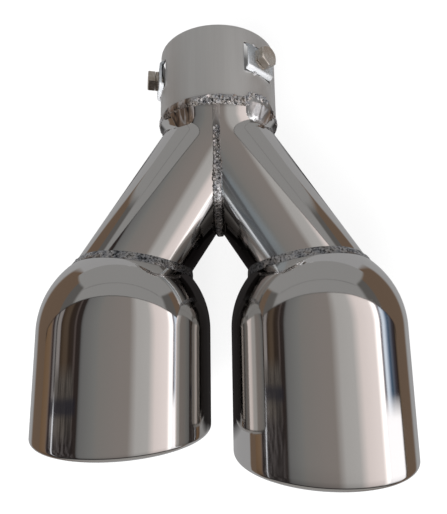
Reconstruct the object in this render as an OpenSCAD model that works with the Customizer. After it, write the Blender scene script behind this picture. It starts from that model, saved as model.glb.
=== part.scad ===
// Twin-outlet exhaust tip: an inlet sleeve with three clamp bolts, two branch tubes and two round tips.
// It lies as it is used: the sleeve's mouth is at the origin, the gas runs along -Y and +Z is up.

/* [Inlet sleeve] */
// Bore of the sleeve, which slips over the tail pipe
inlet_bore = 63; // [58:0.5:68]
// Wall of the sleeve
sleeve_wall = 1; // [0.8:0.1:2]
// Length of the sleeve, from its mouth to the collar joint
sleeve_len = 41; // [34:1:60]

/* [Branch tubes] */
// Outer diameter of each branch tube
tube_od = 54; // [48:0.5:58]
// Wall of each branch tube and of its collar
tube_wall = 1.2; // [0.8:0.1:2]
// Angle between each branch and the axis of the sleeve
branch_angle = 33; // [28:0.5:38]
// How far the outer edge of each tube stands inside the collar, at the collar joint
collar_margin = 5.95; // [4.5:0.05:7.5]
// Length of the round collar before it flares in to the tubes
collar_len = 1; // [0.5:0.1:2]
// Length of the flare between the collar and the tubes
flare_len = 18; // [14:0.5:20]
// How deep the end of each tube stands inside its tip's shoulder
tube_insert = 0.6; // [0.3:0.1:1.5]

/* [Outlet tips] */
// Outer diameter of each outlet tip
tip_od = 88; // [84:0.5:92]
// Wall of each outlet tip
tip_wall = 1.2; // [0.8:0.1:2]
// Clear gap between the two tips
tip_gap = 11; // [6:0.5:16]
// Margin between the outer side of each tube and the widest round of its tip's shoulder
shoulder_margin = 2; // [1:0.1:4]
// Length of the left tip below the centre of its shoulder, on its axis
left_tip_len = 49.7; // [30:0.5:90]
// Length of the right tip below the centre of its shoulder, on its axis
right_tip_len = 61.3; // [30:0.5:100]
// Slant of the cut end, longest at the top
end_slant = 6.5; // [0:0.5:15]
// Radius of the rolled lip round each outlet
lip_r = 2.4; // [1.6:0.1:4]
// How far the rolled lip turns in from the outside of the tip
lip_depth = 3.4; // [3:0.1:6]

/* [Weld beads] */
// Width of the bead round the collar joint
collar_bead_w = 4.2; // [3:0.1:6]
// Height of the crown of that bead above the sleeve
collar_bead_h = 0.7; // [0.5:0.1:2]
// Half width of the bead along the seam between the branches
seam_bead_half_w = 2.2; // [1.5:0.1:3]
// Height of the crown of the seam bead
seam_bead_h = 0.8; // [0.4:0.1:1.5]
// Reach of a shoulder bead up the tube and down the shoulder
shoulder_bead_w = 2; // [1.2:0.1:3]
// Height of the crown of a shoulder bead
shoulder_bead_h = 0.7; // [0.3:0.1:1.5]

/* [Clamp seats] */
// Angle of the first clamp bolt round the sleeve, from the top towards +X
first_clamp_angle = 44; // [0:1:90]
// Distance from the mouth to the axes of the clamp bolts
clamp_down = 16; // [14:0.5:20]
// Width of each window in the sleeve, across the bolt
window_w = 19; // [16:0.5:22]
// Length of each window along the sleeve
window_len = 16; // [15:0.2:20]
// Clear gap round a seat inside its window
seat_gap = 0.6; // [0.4:0.1:1.5]
// Thickness of the seat strip
seat_t = 1.2; // [0.8:0.1:2]
// Height of the seat's flat underside above the chord of the window's edges
seat_rise = 1.8; // [1:0.1:3]
// Slope of the seat's two legs, down from its flat face
seat_leg_angle = 65; // [50:1:80]
// Radius of each tack weld that holds a seat in its window
tack_r = 1.1; // [0.8:0.1:1.6]

/* [Clamp bolts] */
// Thread diameter of the clamp bolts and their nuts
bolt_d = 6; // [5:0.5:6]
// Width across flats of the hex heads and nuts
hex_af = 10; // [9:0.5:11]
// Height of the hex heads
head_h = 3.8; // [3:0.1:5]
// Height of the thin nuts on the seats
nut_h = 1.7; // [1.3:0.1:4]
// Length of bare thread between the nut and the head
thread_show = 0.3; // [0.2:0.1:4]
// How far the bolt ends stand back from the bore
bolt_end_gap = 0.2; // [0.1:0.1:1]

/* [Hidden] */

$fn = 96;
CLAMPS = 3;
LEFT = -1;
RIGHT = 1;
// Clearance between a part and what it is fitted in or welded on
fit = 0.05;
// Overshoot of cutting shapes past the surfaces that they cut
over = 1;
// Size of the shapes that stand for all of the space on one side
far = 200;
// How far the flare's end is drawn in under the saddle between the tubes
saddle_inset = 0.2;
// How far the feet of the seats stand back from the bore
foot_gap = 0.2;
// Inside radius of the seats' bends
seat_bend_r = 0.6;
// Clearance of a bolt in the hole of its seat
hole_gap = 0.2;
// Share of a hex's width that its flat face keeps inside the chamfer, and the chamfer's slope
face_share = 0.97;
chamfer_angle = 30;
// Steps of the drawn arcs, of the beads' crowns and of the beads along their paths
arc_steps = 12;
crown_steps = 4;
seam_rings = 72;
shoulder_rings = 96;
reach_steps = 30;
// Facets of the round that the tacks are cut to
fine_fn = 720;

bore_r = inlet_bore / 2;
sleeve_r = bore_r + sleeve_wall;
tube_r = tube_od / 2;
tip_r = tip_od / 2;
tip_x = (tip_od + tip_gap) / 2;
// The branch axes cross where it takes the tubes' outer edges to the collar joint inside its round
cross_z = sleeve_len + (tube_r / cos(branch_angle) - sleeve_r + collar_margin) / tan(branch_angle);
// Each branch axis passes above the shoulder's centre by what the tip leaves beside the tube
shoulder_drop = (tip_r - tube_r - shoulder_margin) / sin(branch_angle);
shoulder_z = cross_z + tip_x / tan(branch_angle) + shoulder_drop;
// Length of a branch axis from the crossing point to where it passes nearest the shoulder's centre
tube_run = tip_x * sin(branch_angle) + (shoulder_z - cross_z) * cos(branch_angle);

// The flare is an arc that ends upright just inside the saddle between the two tubes
flare_end_z = sleeve_len + collar_len + flare_len;
saddle_off = (flare_end_z - cross_z) * sin(branch_angle) / tube_r;
flare_end_r = tube_r * sqrt(1 - saddle_off * saddle_off) - saddle_inset;
flare_fall = sleeve_r - flare_end_r;
flare_arc_r = (flare_fall * flare_fall + flare_len * flare_len) / (2 * flare_fall);

// The seats are flat strips set across the windows, so their height is measured from the windows' chord
window_chord = sqrt(sleeve_r * sleeve_r - window_w * window_w / 4);
seat_in = window_chord + seat_rise;
seat_out = seat_in + seat_t;
seat_foot = bore_r + foot_gap;
seat_w = window_w - 2 * seat_gap;
bend_r = seat_t + seat_bend_r;
nut_in = seat_out + fit;
nut_out = nut_in + nut_h;
head_in = nut_out + thread_show;
thread_r = bolt_d / 2;

steel = "silver";
sleeve_steel = "darkgray";
weld_steel = "slategray";
fastener_steel = "rosybrown";

function clamp_angle(i) = first_clamp_angle + i * 360 / CLAMPS;
function unit(v) = v / norm(v);
function lerp(a, b, t) = a + (b - a) * t;

// Shapes are drawn with the sleeve's axis upright and its mouth at the bottom, then laid along -Y
module laid() {
    rotate([90, 0, 0]) children();
}

module at_clamp(i) {
    rotate([0, 0, -clamp_angle(i)]) children();
}

// Half of the space, on the given side of the plane of the seam
module side_block(side) {
    translate([side < 0 ? -far : 0, -far / 2, 0]) cube([far, far, 2 * far]);
}

// A tube skin that joins rings of points, each ring in the same order
module ring_skin(rings, closed) {
    count = len(rings);
    n = len(rings[0]);
    points = [for (ring = rings) for (p = ring) p];
    last = closed ? count - 1 : count - 2;
    sides = [
        for (i = [0:last]) for (j = [0:n - 1])
            let (a = i * n, b = ((i + 1) % count) * n, k = (j + 1) % n)
                for (face = [[a + j, b + j, b + k], [a + j, b + k, a + k]]) face
    ];
    caps = closed ? [] : [
        [for (j = [0:n - 1]) j],
        [for (j = [n - 1:-1:0]) (count - 1) * n + j]
    ];
    polyhedron(points = points, faces = concat(sides, caps), convexity = 6);
}

// Inlet sleeve

module window_cut(i) {
    at_clamp(i)
        translate([-window_w / 2, 0, clamp_down - window_len / 2])
            cube([window_w, sleeve_r + over, window_len]);
}

module inlet_sleeve() {
    color(sleeve_steel) laid() difference() {
        cylinder(r = sleeve_r, h = sleeve_len - fit);
        translate([0, 0, -over]) cylinder(r = bore_r, h = sleeve_len + 2 * over);
        for (i = [0:CLAMPS - 1]) window_cut(i);
    }
}

// Branch tubes

function flare_arc(inset) = [
    for (i = [0:arc_steps])
        let (
            start = acos((flare_arc_r - flare_fall) / flare_arc_r),
            a = start * (1 - i / arc_steps),
            r = flare_arc_r + inset
        )
            [flare_end_r + flare_arc_r - r * cos(a), flare_end_z - r * sin(a)]
];

module flare_form(inset) {
    start_z = sleeve_len - (inset > 0 ? over : 0);
    rotate_extrude()
        polygon(concat(
            [[0, start_z], [sleeve_r - inset, start_z]],
            [for (p = flare_arc(inset)) if (p[1] > start_z && p[0] < sleeve_r - inset) p],
            [[flare_end_r - inset, flare_end_z], [0, flare_end_z]]
        ));
}

module branch_form(side, inset) {
    flare_form(inset);
    intersection() {
        translate([0, 0, cross_z]) rotate([0, side * branch_angle, 0])
            translate([0, 0, -far / 4]) cylinder(r = tube_r - inset, h = far / 4 + tube_run);
        translate([-far, -far, sleeve_len - (inset > 0 ? over : 0)]) cube(2 * far);
    }
}

module branch_tube(side) {
    laid() intersection() {
        difference() {
            branch_form(side, 0);
            branch_form(side, tube_wall);
            translate([side * tip_x, 0, shoulder_z]) sphere(r = tip_r - tip_wall - tube_insert);
        }
        side_block(side);
    }
}

module left_branch_tube() {
    color(steel) branch_tube(LEFT);
}

module right_branch_tube() {
    color(steel) branch_tube(RIGHT);
}

// Outlet tips

module tip_form(r) {
    sphere(r = r);
    cylinder(r = r, h = far / 2);
}

// All that lies before the slanted end, with a rolled edge of the given radius round the outlet
module before_end(tip_len, inset, edge_r) {
    disc_r = tip_r / cos(end_slant);
    translate([0, 0, tip_len]) rotate([end_slant, 0, 0]) translate([0, 0, -inset]) {
        translate([0, 0, -far - edge_r]) cylinder(r = far, h = far);
        rotate_extrude() polygon(concat(
            [[0, -edge_r - over]],
            [[disc_r - inset, -edge_r - over]],
            [for (i = [0:arc_steps]) let (a = i * 90 / arc_steps)
                [disc_r - inset - edge_r + edge_r * cos(a), -edge_r + edge_r * sin(a)]],
            [[0, 0]]
        ));
    }
}

module outlet_tip(side, tip_len) {
    laid() difference() {
        translate([side * tip_x, 0, shoulder_z]) difference() {
            intersection() {
                tip_form(tip_r);
                before_end(tip_len, 0, lip_r);
            }
            intersection() {
                tip_form(tip_r - tip_wall);
                before_end(tip_len, tip_wall, lip_r - tip_wall);
            }
            translate([0, 0, tip_len]) rotate([end_slant, 0, 0])
                translate([0, 0, -lip_r - over]) cylinder(r = tip_r - lip_depth, h = 4 * lip_r);
        }
        translate([0, 0, cross_z]) rotate([0, side * branch_angle, 0])
            cylinder(r = tube_r + fit, h = (shoulder_z - cross_z) / cos(branch_angle));
    }
}

module left_outlet_tip() {
    color(steel) outlet_tip(LEFT, left_tip_len);
}

module right_outlet_tip() {
    color(steel) outlet_tip(RIGHT, right_tip_len);
}

// Weld beads

module collar_weld() {
    color(weld_steel) laid() rotate_extrude() {
        half = collar_bead_w / 2;
        polygon([for (i = [0:arc_steps]) let (a = i * 180 / arc_steps)
            [sleeve_r + fit + collar_bead_h * sin(a), sleeve_len - half * cos(a)]]);
    }
}

// Distance from the crossing point of the branch axes to the skin, in the plane at x from the seam
function tube_reach(x, a) = let (
        s = sin(branch_angle),
        shift = x / tan(branch_angle),
        qa = pow(cos(a) * s, 2) + pow(sin(a), 2),
        qb = -cos(a) * shift * s * s,
        qc = pow(shift * s, 2) - tube_r * tube_r
    )
    (-qb + sqrt(qb * qb - qa * qc)) / qa;

// Height of the flare at a distance z from the mouth
function flare_height(z) =
    z > flare_end_z ? 0 :
    flare_end_r + flare_arc_r - sqrt(flare_arc_r * flare_arc_r - pow(flare_end_z - z, 2));

// The flare is a body of revolution, so its reach is found by stepping in to its height
function flare_reach(x, a, guess, steps) =
    steps == 0 ? guess :
    let (
        h = flare_height(cross_z + guess * cos(a)),
        side = h > x ? sqrt(h * h - x * x) : 0
    )
        flare_reach(x, a, abs(side / sin(a)), steps - 1);

function skin_reach(x, a) =
    cross_z + tube_reach(x, a) * cos(a) > flare_end_z ? tube_reach(x, a) :
    max(tube_reach(x, a), flare_reach(x, a, tube_reach(x, a), reach_steps));

function seam_point(x, a, rise) =
    let (d = skin_reach(abs(x), a) + rise) [x, d * sin(a), cross_z + d * cos(a)];

// One cross-section of the seam bead: over the crown from toe to toe, and back along the joint
function seam_ring(a) = let (
        w = seam_bead_half_w,
        base = 2 * fit,
        toe = skin_reach(w, a) + base
    )
    concat(
        [for (i = [-crown_steps:crown_steps])
            let (t = i / crown_steps, d = toe + seam_bead_h * (1 - t * t))
                [w * t, d * sin(a), cross_z + d * cos(a)]],
        [seam_point(w / 2, a, base), seam_point(0, a, base), seam_point(-w / 2, a, base)]
    );

module seam_weld() {
    // The bead starts below the collar bead on the top face, runs round the fork and up the back
    start_drop = sleeve_len + collar_bead_w / 2 + fit - cross_z;
    start_a = acos(start_drop / norm([start_drop, sleeve_r]));
    color(weld_steel) laid()
        ring_skin([for (i = [0:seam_rings]) seam_ring(start_a * (1 - 2 * i / seam_rings))], false);
}

// A point where the tube of one branch meets the shoulder of its tip, at the angle a round the tube
function tube_axis(side) = [side * sin(branch_angle), 0, cos(branch_angle)];
function tube_out(side, a) =
    cos(a) * [side * cos(branch_angle), 0, -sin(branch_angle)] + sin(a) * [0, 1, 0];
function shoulder_centre(side) = [side * tip_x, 0, shoulder_z];
function shoulder_corner(side, a) = let (
        base = [0, 0, cross_z] + tube_r * tube_out(side, a),
        d = tube_axis(side),
        v = base - shoulder_centre(side),
        b = v * d,
        c = v * v - tip_r * tip_r
    )
    base + (-b - sqrt(b * b - c)) * d;

// One cross-section of a shoulder bead: the toe on the tube, the crown, the toe on the shoulder, the joint
function shoulder_ring(side, a) = let (
        corner = shoulder_corner(side, a),
        n = tube_out(side, a),
        k = unit(corner - shoulder_centre(side)),
        run = unit(n - (n * k) * k),
        tube_toe = corner - shoulder_bead_w * tube_axis(side) + fit * n,
        turn = shoulder_bead_w / tip_r * 180 / PI,
        toe_dir = cos(turn) * k + sin(turn) * run,
        tip_toe = shoulder_centre(side) + (tip_r + fit) * toe_dir,
        out = unit(n + k)
    )
    concat(
        [for (i = [0:crown_steps]) let (t = i / crown_steps)
            lerp(tube_toe, tip_toe, t) + shoulder_bead_h * sin(t * 180) * out],
        [corner + 2 * fit * out]
    );

module shoulder_weld(side) {
    angles = [for (i = [0:shoulder_rings - 1]) side * i * 360 / shoulder_rings];
    laid() ring_skin([for (a = angles) shoulder_ring(side, a)], true);
}

module left_shoulder_weld() {
    color(weld_steel) shoulder_weld(LEFT);
}

module right_shoulder_weld() {
    color(weld_steel) shoulder_weld(RIGHT);
}

// Clamp seats: a strip bent down at both ends, set in the window

function bend(y, z, r, start, turn) = [
    for (i = [0:arc_steps]) let (a = start + turn * i / arc_steps) [z + r * cos(a), y + r * sin(a)]
];

module seat_profile() {
    down = [cos(seat_leg_angle), -sin(seat_leg_angle)];
    bend_run = bend_r * sin(seat_leg_angle);
    bend_low = seat_out - bend_r + bend_r * cos(seat_leg_angle);
    half = window_len / 2 - seat_gap - bend_run - (bend_low - seat_foot) / tan(seat_leg_angle);
    outer = bend(seat_out - bend_r, half, bend_r, 90, -seat_leg_angle);
    inner = bend(seat_out - bend_r, half, seat_bend_r, 90 - seat_leg_angle, seat_leg_angle);
    outer_end = outer[arc_steps];
    outer_run = (outer_end[1] - seat_foot) / sin(seat_leg_angle);
    inner_run = (inner[0][1] - seat_foot) / sin(seat_leg_angle);
    right = concat(outer, [outer_end + outer_run * down, inner[0] + inner_run * down], inner);
    left = [for (i = [len(right) - 1:-1:0]) [-right[i][0], right[i][1]]];
    polygon(concat(right, left));
}

module seat_form() {
    difference() {
        translate([seat_w / 2, 0, clamp_down]) rotate([0, -90, 0]) linear_extrude(seat_w) seat_profile();
        translate([0, 0, clamp_down]) rotate([-90, 0, 0]) cylinder(r = thread_r + hole_gap, h = far / 2);
    }
}

module clamp_seat(i) {
    color(sleeve_steel) laid() at_clamp(i) seat_form();
}

module clamp_seat_1() { clamp_seat(0); }
module clamp_seat_2() { clamp_seat(1); }
module clamp_seat_3() { clamp_seat(2); }

module seat_tacks(i) {
    across = seat_w / 5;
    color(weld_steel) laid() at_clamp(i) for (end = [-1, 1]) difference() {
        translate([-across, sqrt(sleeve_r * sleeve_r - across * across), clamp_down + end * window_len / 2])
            sphere(r = tack_r);
        cylinder(r = sleeve_r + fit, h = sleeve_len, $fn = fine_fn);
        seat_form();
    }
}

module seat_tacks_1() { seat_tacks(0); }
module seat_tacks_2() { seat_tacks(1); }
module seat_tacks_3() { seat_tacks(2); }

// Clamp nuts and bolts

module hex_prism(h, chamfer_low, chamfer_high) {
    corner_r = hex_af / 2 / cos(30);
    face_r = face_share * hex_af / 2;
    drop = (corner_r - face_r) * tan(chamfer_angle);
    intersection() {
        cylinder(r = corner_r, h = h, $fn = 6);
        rotate_extrude() polygon([
            [0, 0], [chamfer_low ? face_r : corner_r, 0],
            [corner_r, chamfer_low ? drop : 0],
            [corner_r, chamfer_high ? h - drop : h],
            [chamfer_high ? face_r : corner_r, h], [0, h]
        ]);
    }
}

module clamp_nut(i) {
    color(fastener_steel) laid() at_clamp(i)
        translate([0, nut_in, clamp_down]) rotate([-90, 0, 0]) difference() {
            hex_prism(nut_h, true, true);
            translate([0, 0, -over]) cylinder(r = thread_r + fit, h = nut_h + 2 * over);
        }
}

module clamp_nut_1() { clamp_nut(0); }
module clamp_nut_2() { clamp_nut(1); }
module clamp_nut_3() { clamp_nut(2); }

module clamp_bolt(i) {
    end_r = bore_r + bolt_end_gap;
    color(fastener_steel) laid() at_clamp(i) translate([0, 0, clamp_down]) rotate([-90, 0, 0]) {
        translate([0, 0, head_in]) hex_prism(head_h, false, true);
        translate([0, 0, end_r]) cylinder(r = thread_r, h = head_in - end_r + over);
    }
}

module clamp_bolt_1() { clamp_bolt(0); }
module clamp_bolt_2() { clamp_bolt(1); }
module clamp_bolt_3() { clamp_bolt(2); }

inlet_sleeve();
left_branch_tube();
right_branch_tube();
left_outlet_tip();
right_outlet_tip();
collar_weld();
seam_weld();
left_shoulder_weld();
right_shoulder_weld();
clamp_seat_1();
clamp_seat_2();
clamp_seat_3();
seat_tacks_1();
seat_tacks_2();
seat_tacks_3();
clamp_nut_1();
clamp_nut_2();
clamp_nut_3();
clamp_bolt_1();
clamp_bolt_2();
clamp_bolt_3();
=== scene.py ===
"""Looks and studio of a twin-outlet exhaust tip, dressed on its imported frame.

The file is laid out as an add-on and is run as a script. Shapes are drawn in metres with the sleeve's axis
as z, its mouth at z = 0 and y as up. laid() then turns them the way the solids lie, with the gas along -Y.
"""

import math

import bmesh
import bpy
import mathutils
import numpy as np
from bpy.props import FloatProperty, FloatVectorProperty, IntProperty, PointerProperty
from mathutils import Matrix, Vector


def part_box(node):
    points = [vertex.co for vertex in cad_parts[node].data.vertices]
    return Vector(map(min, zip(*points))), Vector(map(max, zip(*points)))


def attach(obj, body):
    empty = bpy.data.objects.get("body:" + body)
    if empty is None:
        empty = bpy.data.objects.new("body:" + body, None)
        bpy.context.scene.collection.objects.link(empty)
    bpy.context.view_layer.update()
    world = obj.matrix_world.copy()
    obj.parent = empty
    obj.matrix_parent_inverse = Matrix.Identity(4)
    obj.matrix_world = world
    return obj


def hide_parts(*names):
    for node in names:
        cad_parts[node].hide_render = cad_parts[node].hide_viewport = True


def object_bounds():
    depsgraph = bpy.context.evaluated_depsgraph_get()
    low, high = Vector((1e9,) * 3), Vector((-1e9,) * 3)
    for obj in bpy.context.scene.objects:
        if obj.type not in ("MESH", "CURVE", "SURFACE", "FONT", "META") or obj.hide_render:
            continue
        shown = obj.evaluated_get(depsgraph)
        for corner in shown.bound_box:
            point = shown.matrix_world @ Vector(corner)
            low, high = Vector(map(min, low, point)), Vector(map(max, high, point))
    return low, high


bl_info = {
    "name": "Twin-Outlet Exhaust Tip",
    "version": (1, 0, 0),
    "blender": (4, 5, 0),
    "location": "3D View > Sidebar > Exhaust Tip",
    "description": "Polished tubes, weld beads and clamp bolts of a twin-outlet exhaust tip, with its studio",
    "category": "Object",
}

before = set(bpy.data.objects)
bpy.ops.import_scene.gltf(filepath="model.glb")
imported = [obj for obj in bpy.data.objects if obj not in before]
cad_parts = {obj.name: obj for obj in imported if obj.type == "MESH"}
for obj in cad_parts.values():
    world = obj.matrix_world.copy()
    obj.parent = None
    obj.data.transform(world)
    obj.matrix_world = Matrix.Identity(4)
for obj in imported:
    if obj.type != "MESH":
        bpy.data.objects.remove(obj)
CAD_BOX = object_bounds()

LEFT, BOTH, RIGHT = -1, 0, 1
SIDES = {"left": LEFT, "right": RIGHT}
CLAMPS = (1, 2, 3)
UP = np.array([0.0, 1.0, 0.0])
ALONG = np.array([0.0, 0.0, 1.0])


def half_size(node, axis):
    """Half of a CAD node's size along an axis of the frame."""
    low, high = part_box(node)
    return (high[axis] - low[axis]) / 2


# Sizes and colours that a user would change


class ExhaustSizes(bpy.types.PropertyGroup):
    """Sizes of the tubes, the weld beads and the clamp hardware"""

    sleeve_r: FloatProperty(
        name="Sleeve Radius",
        description="Outer radius of the inlet sleeve",
        default=half_size("inlet_sleeve", 0),
        unit="LENGTH",
        precision=5,
    )
    sleeve_len: FloatProperty(
        name="Sleeve Length",
        description="Distance from the mouth to the collar joint",
        default=0.041,
        unit="LENGTH",
        precision=5,
    )
    sleeve_wall: FloatProperty(
        name="Sleeve Wall",
        description="Wall thickness of the inlet sleeve",
        default=0.001,
        unit="LENGTH",
        precision=5,
    )
    tube_r: FloatProperty(
        name="Branch Radius",
        description="Outer radius of each branch tube",
        default=0.027,
        unit="LENGTH",
        precision=5,
    )
    tube_wall: FloatProperty(
        name="Branch and Tip Wall",
        description="Wall thickness of the branch tubes and the outlet tips",
        default=0.0012,
        unit="LENGTH",
        precision=5,
    )
    branch_angle: FloatProperty(
        name="Branch Angle",
        description="Angle between each branch and the sleeve's axis",
        default=math.radians(33),
        subtype="ANGLE",
    )
    collar_margin: FloatProperty(
        name="Collar Margin",
        description="How far the outer edge of each tube stands inside the collar, at the collar joint",
        default=0.00595,
        unit="LENGTH",
        precision=5,
    )
    flare_len: FloatProperty(
        name="Flare Length",
        description="Length of the collar and flare below the sleeve",
        default=0.019,
        unit="LENGTH",
        precision=5,
    )
    crease_blend: FloatProperty(
        name="Crease Blend",
        description="How softly the flare runs into the branch tubes",
        default=0.002,
        unit="LENGTH",
        precision=5,
    )
    tip_r: FloatProperty(
        name="Tip Radius",
        description="Outer radius of each outlet tip",
        default=half_size("left_outlet_tip", 2),
        unit="LENGTH",
        precision=5,
    )
    tip_x: FloatProperty(
        name="Tip Spacing",
        description="Distance of each tip's axis from the seam plane",
        default=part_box("right_outlet_tip")[1][0] - half_size("right_outlet_tip", 0),
        unit="LENGTH",
        precision=5,
    )
    shoulder_margin: FloatProperty(
        name="Shoulder Margin",
        description="Margin between the outer side of each tube and the widest round of its tip's shoulder",
        default=0.002,
        unit="LENGTH",
        precision=5,
    )
    end_slant: FloatProperty(
        name="End Slant",
        description="Slant of each tip's cut end, longest at the top",
        default=math.radians(6.5),
        subtype="ANGLE",
    )
    lip_r: FloatProperty(
        name="Lip Radius",
        description="Radius of the rolled lip of each outlet",
        default=0.0024,
        unit="LENGTH",
        precision=5,
    )
    lip_depth: FloatProperty(
        name="Lip Depth",
        description="How far the rolled lip turns in from the outside",
        default=0.0034,
        unit="LENGTH",
        precision=5,
    )
    bead_pitch: FloatProperty(
        name="Bead Pitch",
        description="Distance between two ripples of a weld bead",
        default=0.00115,
        unit="LENGTH",
        precision=5,
    )
    first_clamp_angle: FloatProperty(
        name="First Clamp Angle",
        description="Angle of the first clamp bolt round the sleeve, from the top towards +X",
        default=math.radians(44),
        subtype="ANGLE",
    )
    clamp_down: FloatProperty(
        name="Clamp Distance",
        description="Distance from the mouth to the clamp bolts",
        default=0.016,
        unit="LENGTH",
        precision=5,
    )
    window_w: FloatProperty(
        name="Window Width",
        description="Width of each sleeve window across the bolt",
        default=0.019,
        unit="LENGTH",
        precision=5,
    )
    window_len: FloatProperty(
        name="Window Length",
        description="Length of each sleeve window along the sleeve",
        default=0.016,
        unit="LENGTH",
        precision=5,
    )
    hex_af: FloatProperty(
        name="Hex Size",
        description="Width across flats of the bolt heads and nuts",
        default=0.01,
        unit="LENGTH",
        precision=5,
    )
    head_h: FloatProperty(
        name="Head Height",
        description="Height of each bolt head",
        default=0.0038,
        unit="LENGTH",
        precision=5,
    )
    thread_pitch: FloatProperty(
        name="Thread Pitch",
        description="Pitch of the clamp bolts' thread",
        default=0.001,
        unit="LENGTH",
        precision=5,
    )
    seed: IntProperty(name="Seed", description="Seed of the ripples' spread", default=7)


class ExhaustColours(bpy.types.PropertyGroup):
    """Base colours of the metals"""

    polished: FloatVectorProperty(
        name="Polished Steel",
        description="Colour of the polished tubes and tips",
        default=(0.78, 0.765, 0.75),
        subtype="COLOR",
        size=3,
    )
    sleeve: FloatVectorProperty(
        name="Sleeve Steel",
        description="Colour of the finely brushed sleeve",
        default=(0.76, 0.755, 0.745),
        subtype="COLOR",
        size=3,
    )
    seat: FloatVectorProperty(
        name="Plated Steel",
        description="Colour of the plated clamp seats",
        default=(0.47, 0.50, 0.53),
        subtype="COLOR",
        size=3,
    )
    weld: FloatVectorProperty(
        name="Weld Metal",
        description="Colour of the weld beads",
        default=(0.88, 0.87, 0.87),
        subtype="COLOR",
        size=3,
    )
    # The inner walls are darker than the unpolished steel's own tone: painted shade for the inside seen
    # through the windows and the mouth
    mill: FloatVectorProperty(
        name="Inner Walls",
        description="Colour of the unpolished inner walls",
        default=(0.20, 0.19, 0.18),
        subtype="COLOR",
        size=3,
    )
    fastener: FloatVectorProperty(
        name="Bolts and Nuts",
        description="Colour of the clamp bolts and their nuts",
        default=(0.78, 0.73, 0.67),
        subtype="COLOR",
        size=3,
    )


class ExhaustStudio(bpy.types.PropertyGroup):
    """Floor, lamps and camera"""

    floor_colour: FloatVectorProperty(
        name="Floor",
        description="Colour of the floor and the backdrop",
        default=(0.9, 0.9, 0.9),
        subtype="COLOR",
        size=3,
    )
    tent_r: FloatProperty(
        name="Light Tent Radius",
        description="Distance of the reflected walls from the sleeve's axis",
        default=0.45,
        unit="LENGTH",
    )
    lamp_power: FloatProperty(
        name="Lamp Power",
        description="Power of the main soft lamp",
        default=42.0,
        subtype="POWER",
    )
    lens: FloatProperty(
        name="Lens",
        description="Focal length on a sensor whose long side is 36 mm",
        default=31.52,
        subtype="DISTANCE_CAMERA",
    )


def sizes():
    return bpy.context.scene.exhaust_sizes


def colours():
    return bpy.context.scene.exhaust_colours


# Points, rays and the outer skin of the tubes


def laid(points):
    """Points drawn along the sleeve's axis, as they lie in the frame."""
    p = np.asarray(points, float)
    return np.stack([p[..., 0], -p[..., 2], p[..., 1]], axis=-1)


def unit(v):
    return v / np.linalg.norm(v, axis=-1, keepdims=True)


def cross_z(s):
    """Distance from the mouth to where the branch axes cross."""
    edge = s.tube_r / math.cos(s.branch_angle) - s.sleeve_r + s.collar_margin
    return s.sleeve_len + edge / math.tan(s.branch_angle)


def shoulder_z(s):
    """Distance from the mouth to the centres of the tips' round shoulders."""
    drop = (s.tip_r - s.tube_r - s.shoulder_margin) / math.sin(s.branch_angle)
    return cross_z(s) + s.tip_x / math.tan(s.branch_angle) + drop


def clamp_angle(s, number):
    return s.first_clamp_angle + (number - 1) * 2 * math.pi / 3


def flare_end(s):
    """(distance from the mouth, radius) of the flare's lower end, just inside the saddle of the tubes."""
    end_z = s.sleeve_len + s.flare_len
    off = (end_z - cross_z(s)) * math.sin(s.branch_angle) / s.tube_r
    return end_z, s.tube_r * math.sqrt(1 - off * off) - 0.0002


def tube_axis(s, side):
    return np.array([side * math.sin(s.branch_angle), 0, math.cos(s.branch_angle)])


def tube_out(s, side, a):
    """Direction out of a branch tube at the angle a round it, from its outer side towards the top."""
    across = np.array([side * math.cos(s.branch_angle), 0, -math.sin(s.branch_angle)])
    return np.cos(a)[..., None] * across + np.sin(a)[..., None] * UP


def tube_field(s, p, side):
    """Distance of points from a branch tube's skin, negative inside."""
    v = p - np.array([0, 0, cross_z(s)])
    along = v @ tube_axis(s, side)
    return np.sqrt(np.maximum((v * v).sum(-1) - along**2, 0)) - s.tube_r


def flare_field(s, p):
    """Distance of points from the flare, which falls in an arc from the collar and ends upright."""
    end_z, end_r = flare_end(s)
    fall, length = s.sleeve_r - end_r, s.flare_len - 0.001
    arc_r = (fall**2 + length**2) / (2 * fall)
    rho = np.hypot(p[..., 0], p[..., 1])
    drop = np.clip(end_z - p[..., 2], 0, length)
    root = np.sqrt(arc_r**2 - drop**2)
    beside = (rho - (end_r + arc_r - root)) * root / arc_r
    below = np.hypot(np.maximum(rho - end_r, 0), p[..., 2] - end_z)
    return np.where(p[..., 2] > end_z, below, beside)


def skin_field(s, p, side):
    """Distance of points from the blended flare and branch tube; side 0 takes each half's own tube."""
    tubes = tube_field(s, p if side else np.abs(p), side or RIGHT)
    flare = flare_field(s, p)
    h = np.clip(0.5 + 0.5 * (flare - tubes) / s.crease_blend, 0, 1)
    return flare + (tubes - flare) * h - s.crease_blend * h * (1 - h)


def skin_reach(s, origin, direction, side, far=0.07, steps=70):
    """Length of each ray from origin to where it leaves the skin for the last time."""
    outer = np.full(direction.shape[:-1], far)
    inner = np.zeros_like(outer)
    found = np.zeros(outer.shape, bool)
    for t in np.linspace(far, 0.001, steps)[1:]:
        inside = skin_field(s, origin + t * direction, side) < 0
        inner = np.where(inside & ~found, t, inner)
        found |= inside
        outer = np.where(found, outer, t)
    for _ in range(22):
        middle = (inner + outer) / 2
        inside = skin_field(s, origin + middle[..., None] * direction, side) < 0
        inner, outer = np.where(inside, middle, inner), np.where(inside, outer, middle)
    return (inner + outer) / 2


# Paths of the weld beads: points on the joint, and the direction that each crown stands in


def collar_path(s, count=360):
    a = np.linspace(0, 2 * math.pi, count, endpoint=False)
    out = np.stack([np.sin(a), np.cos(a), 0 * a], axis=-1)
    return out * s.sleeve_r + ALONG * s.sleeve_len, out


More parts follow.
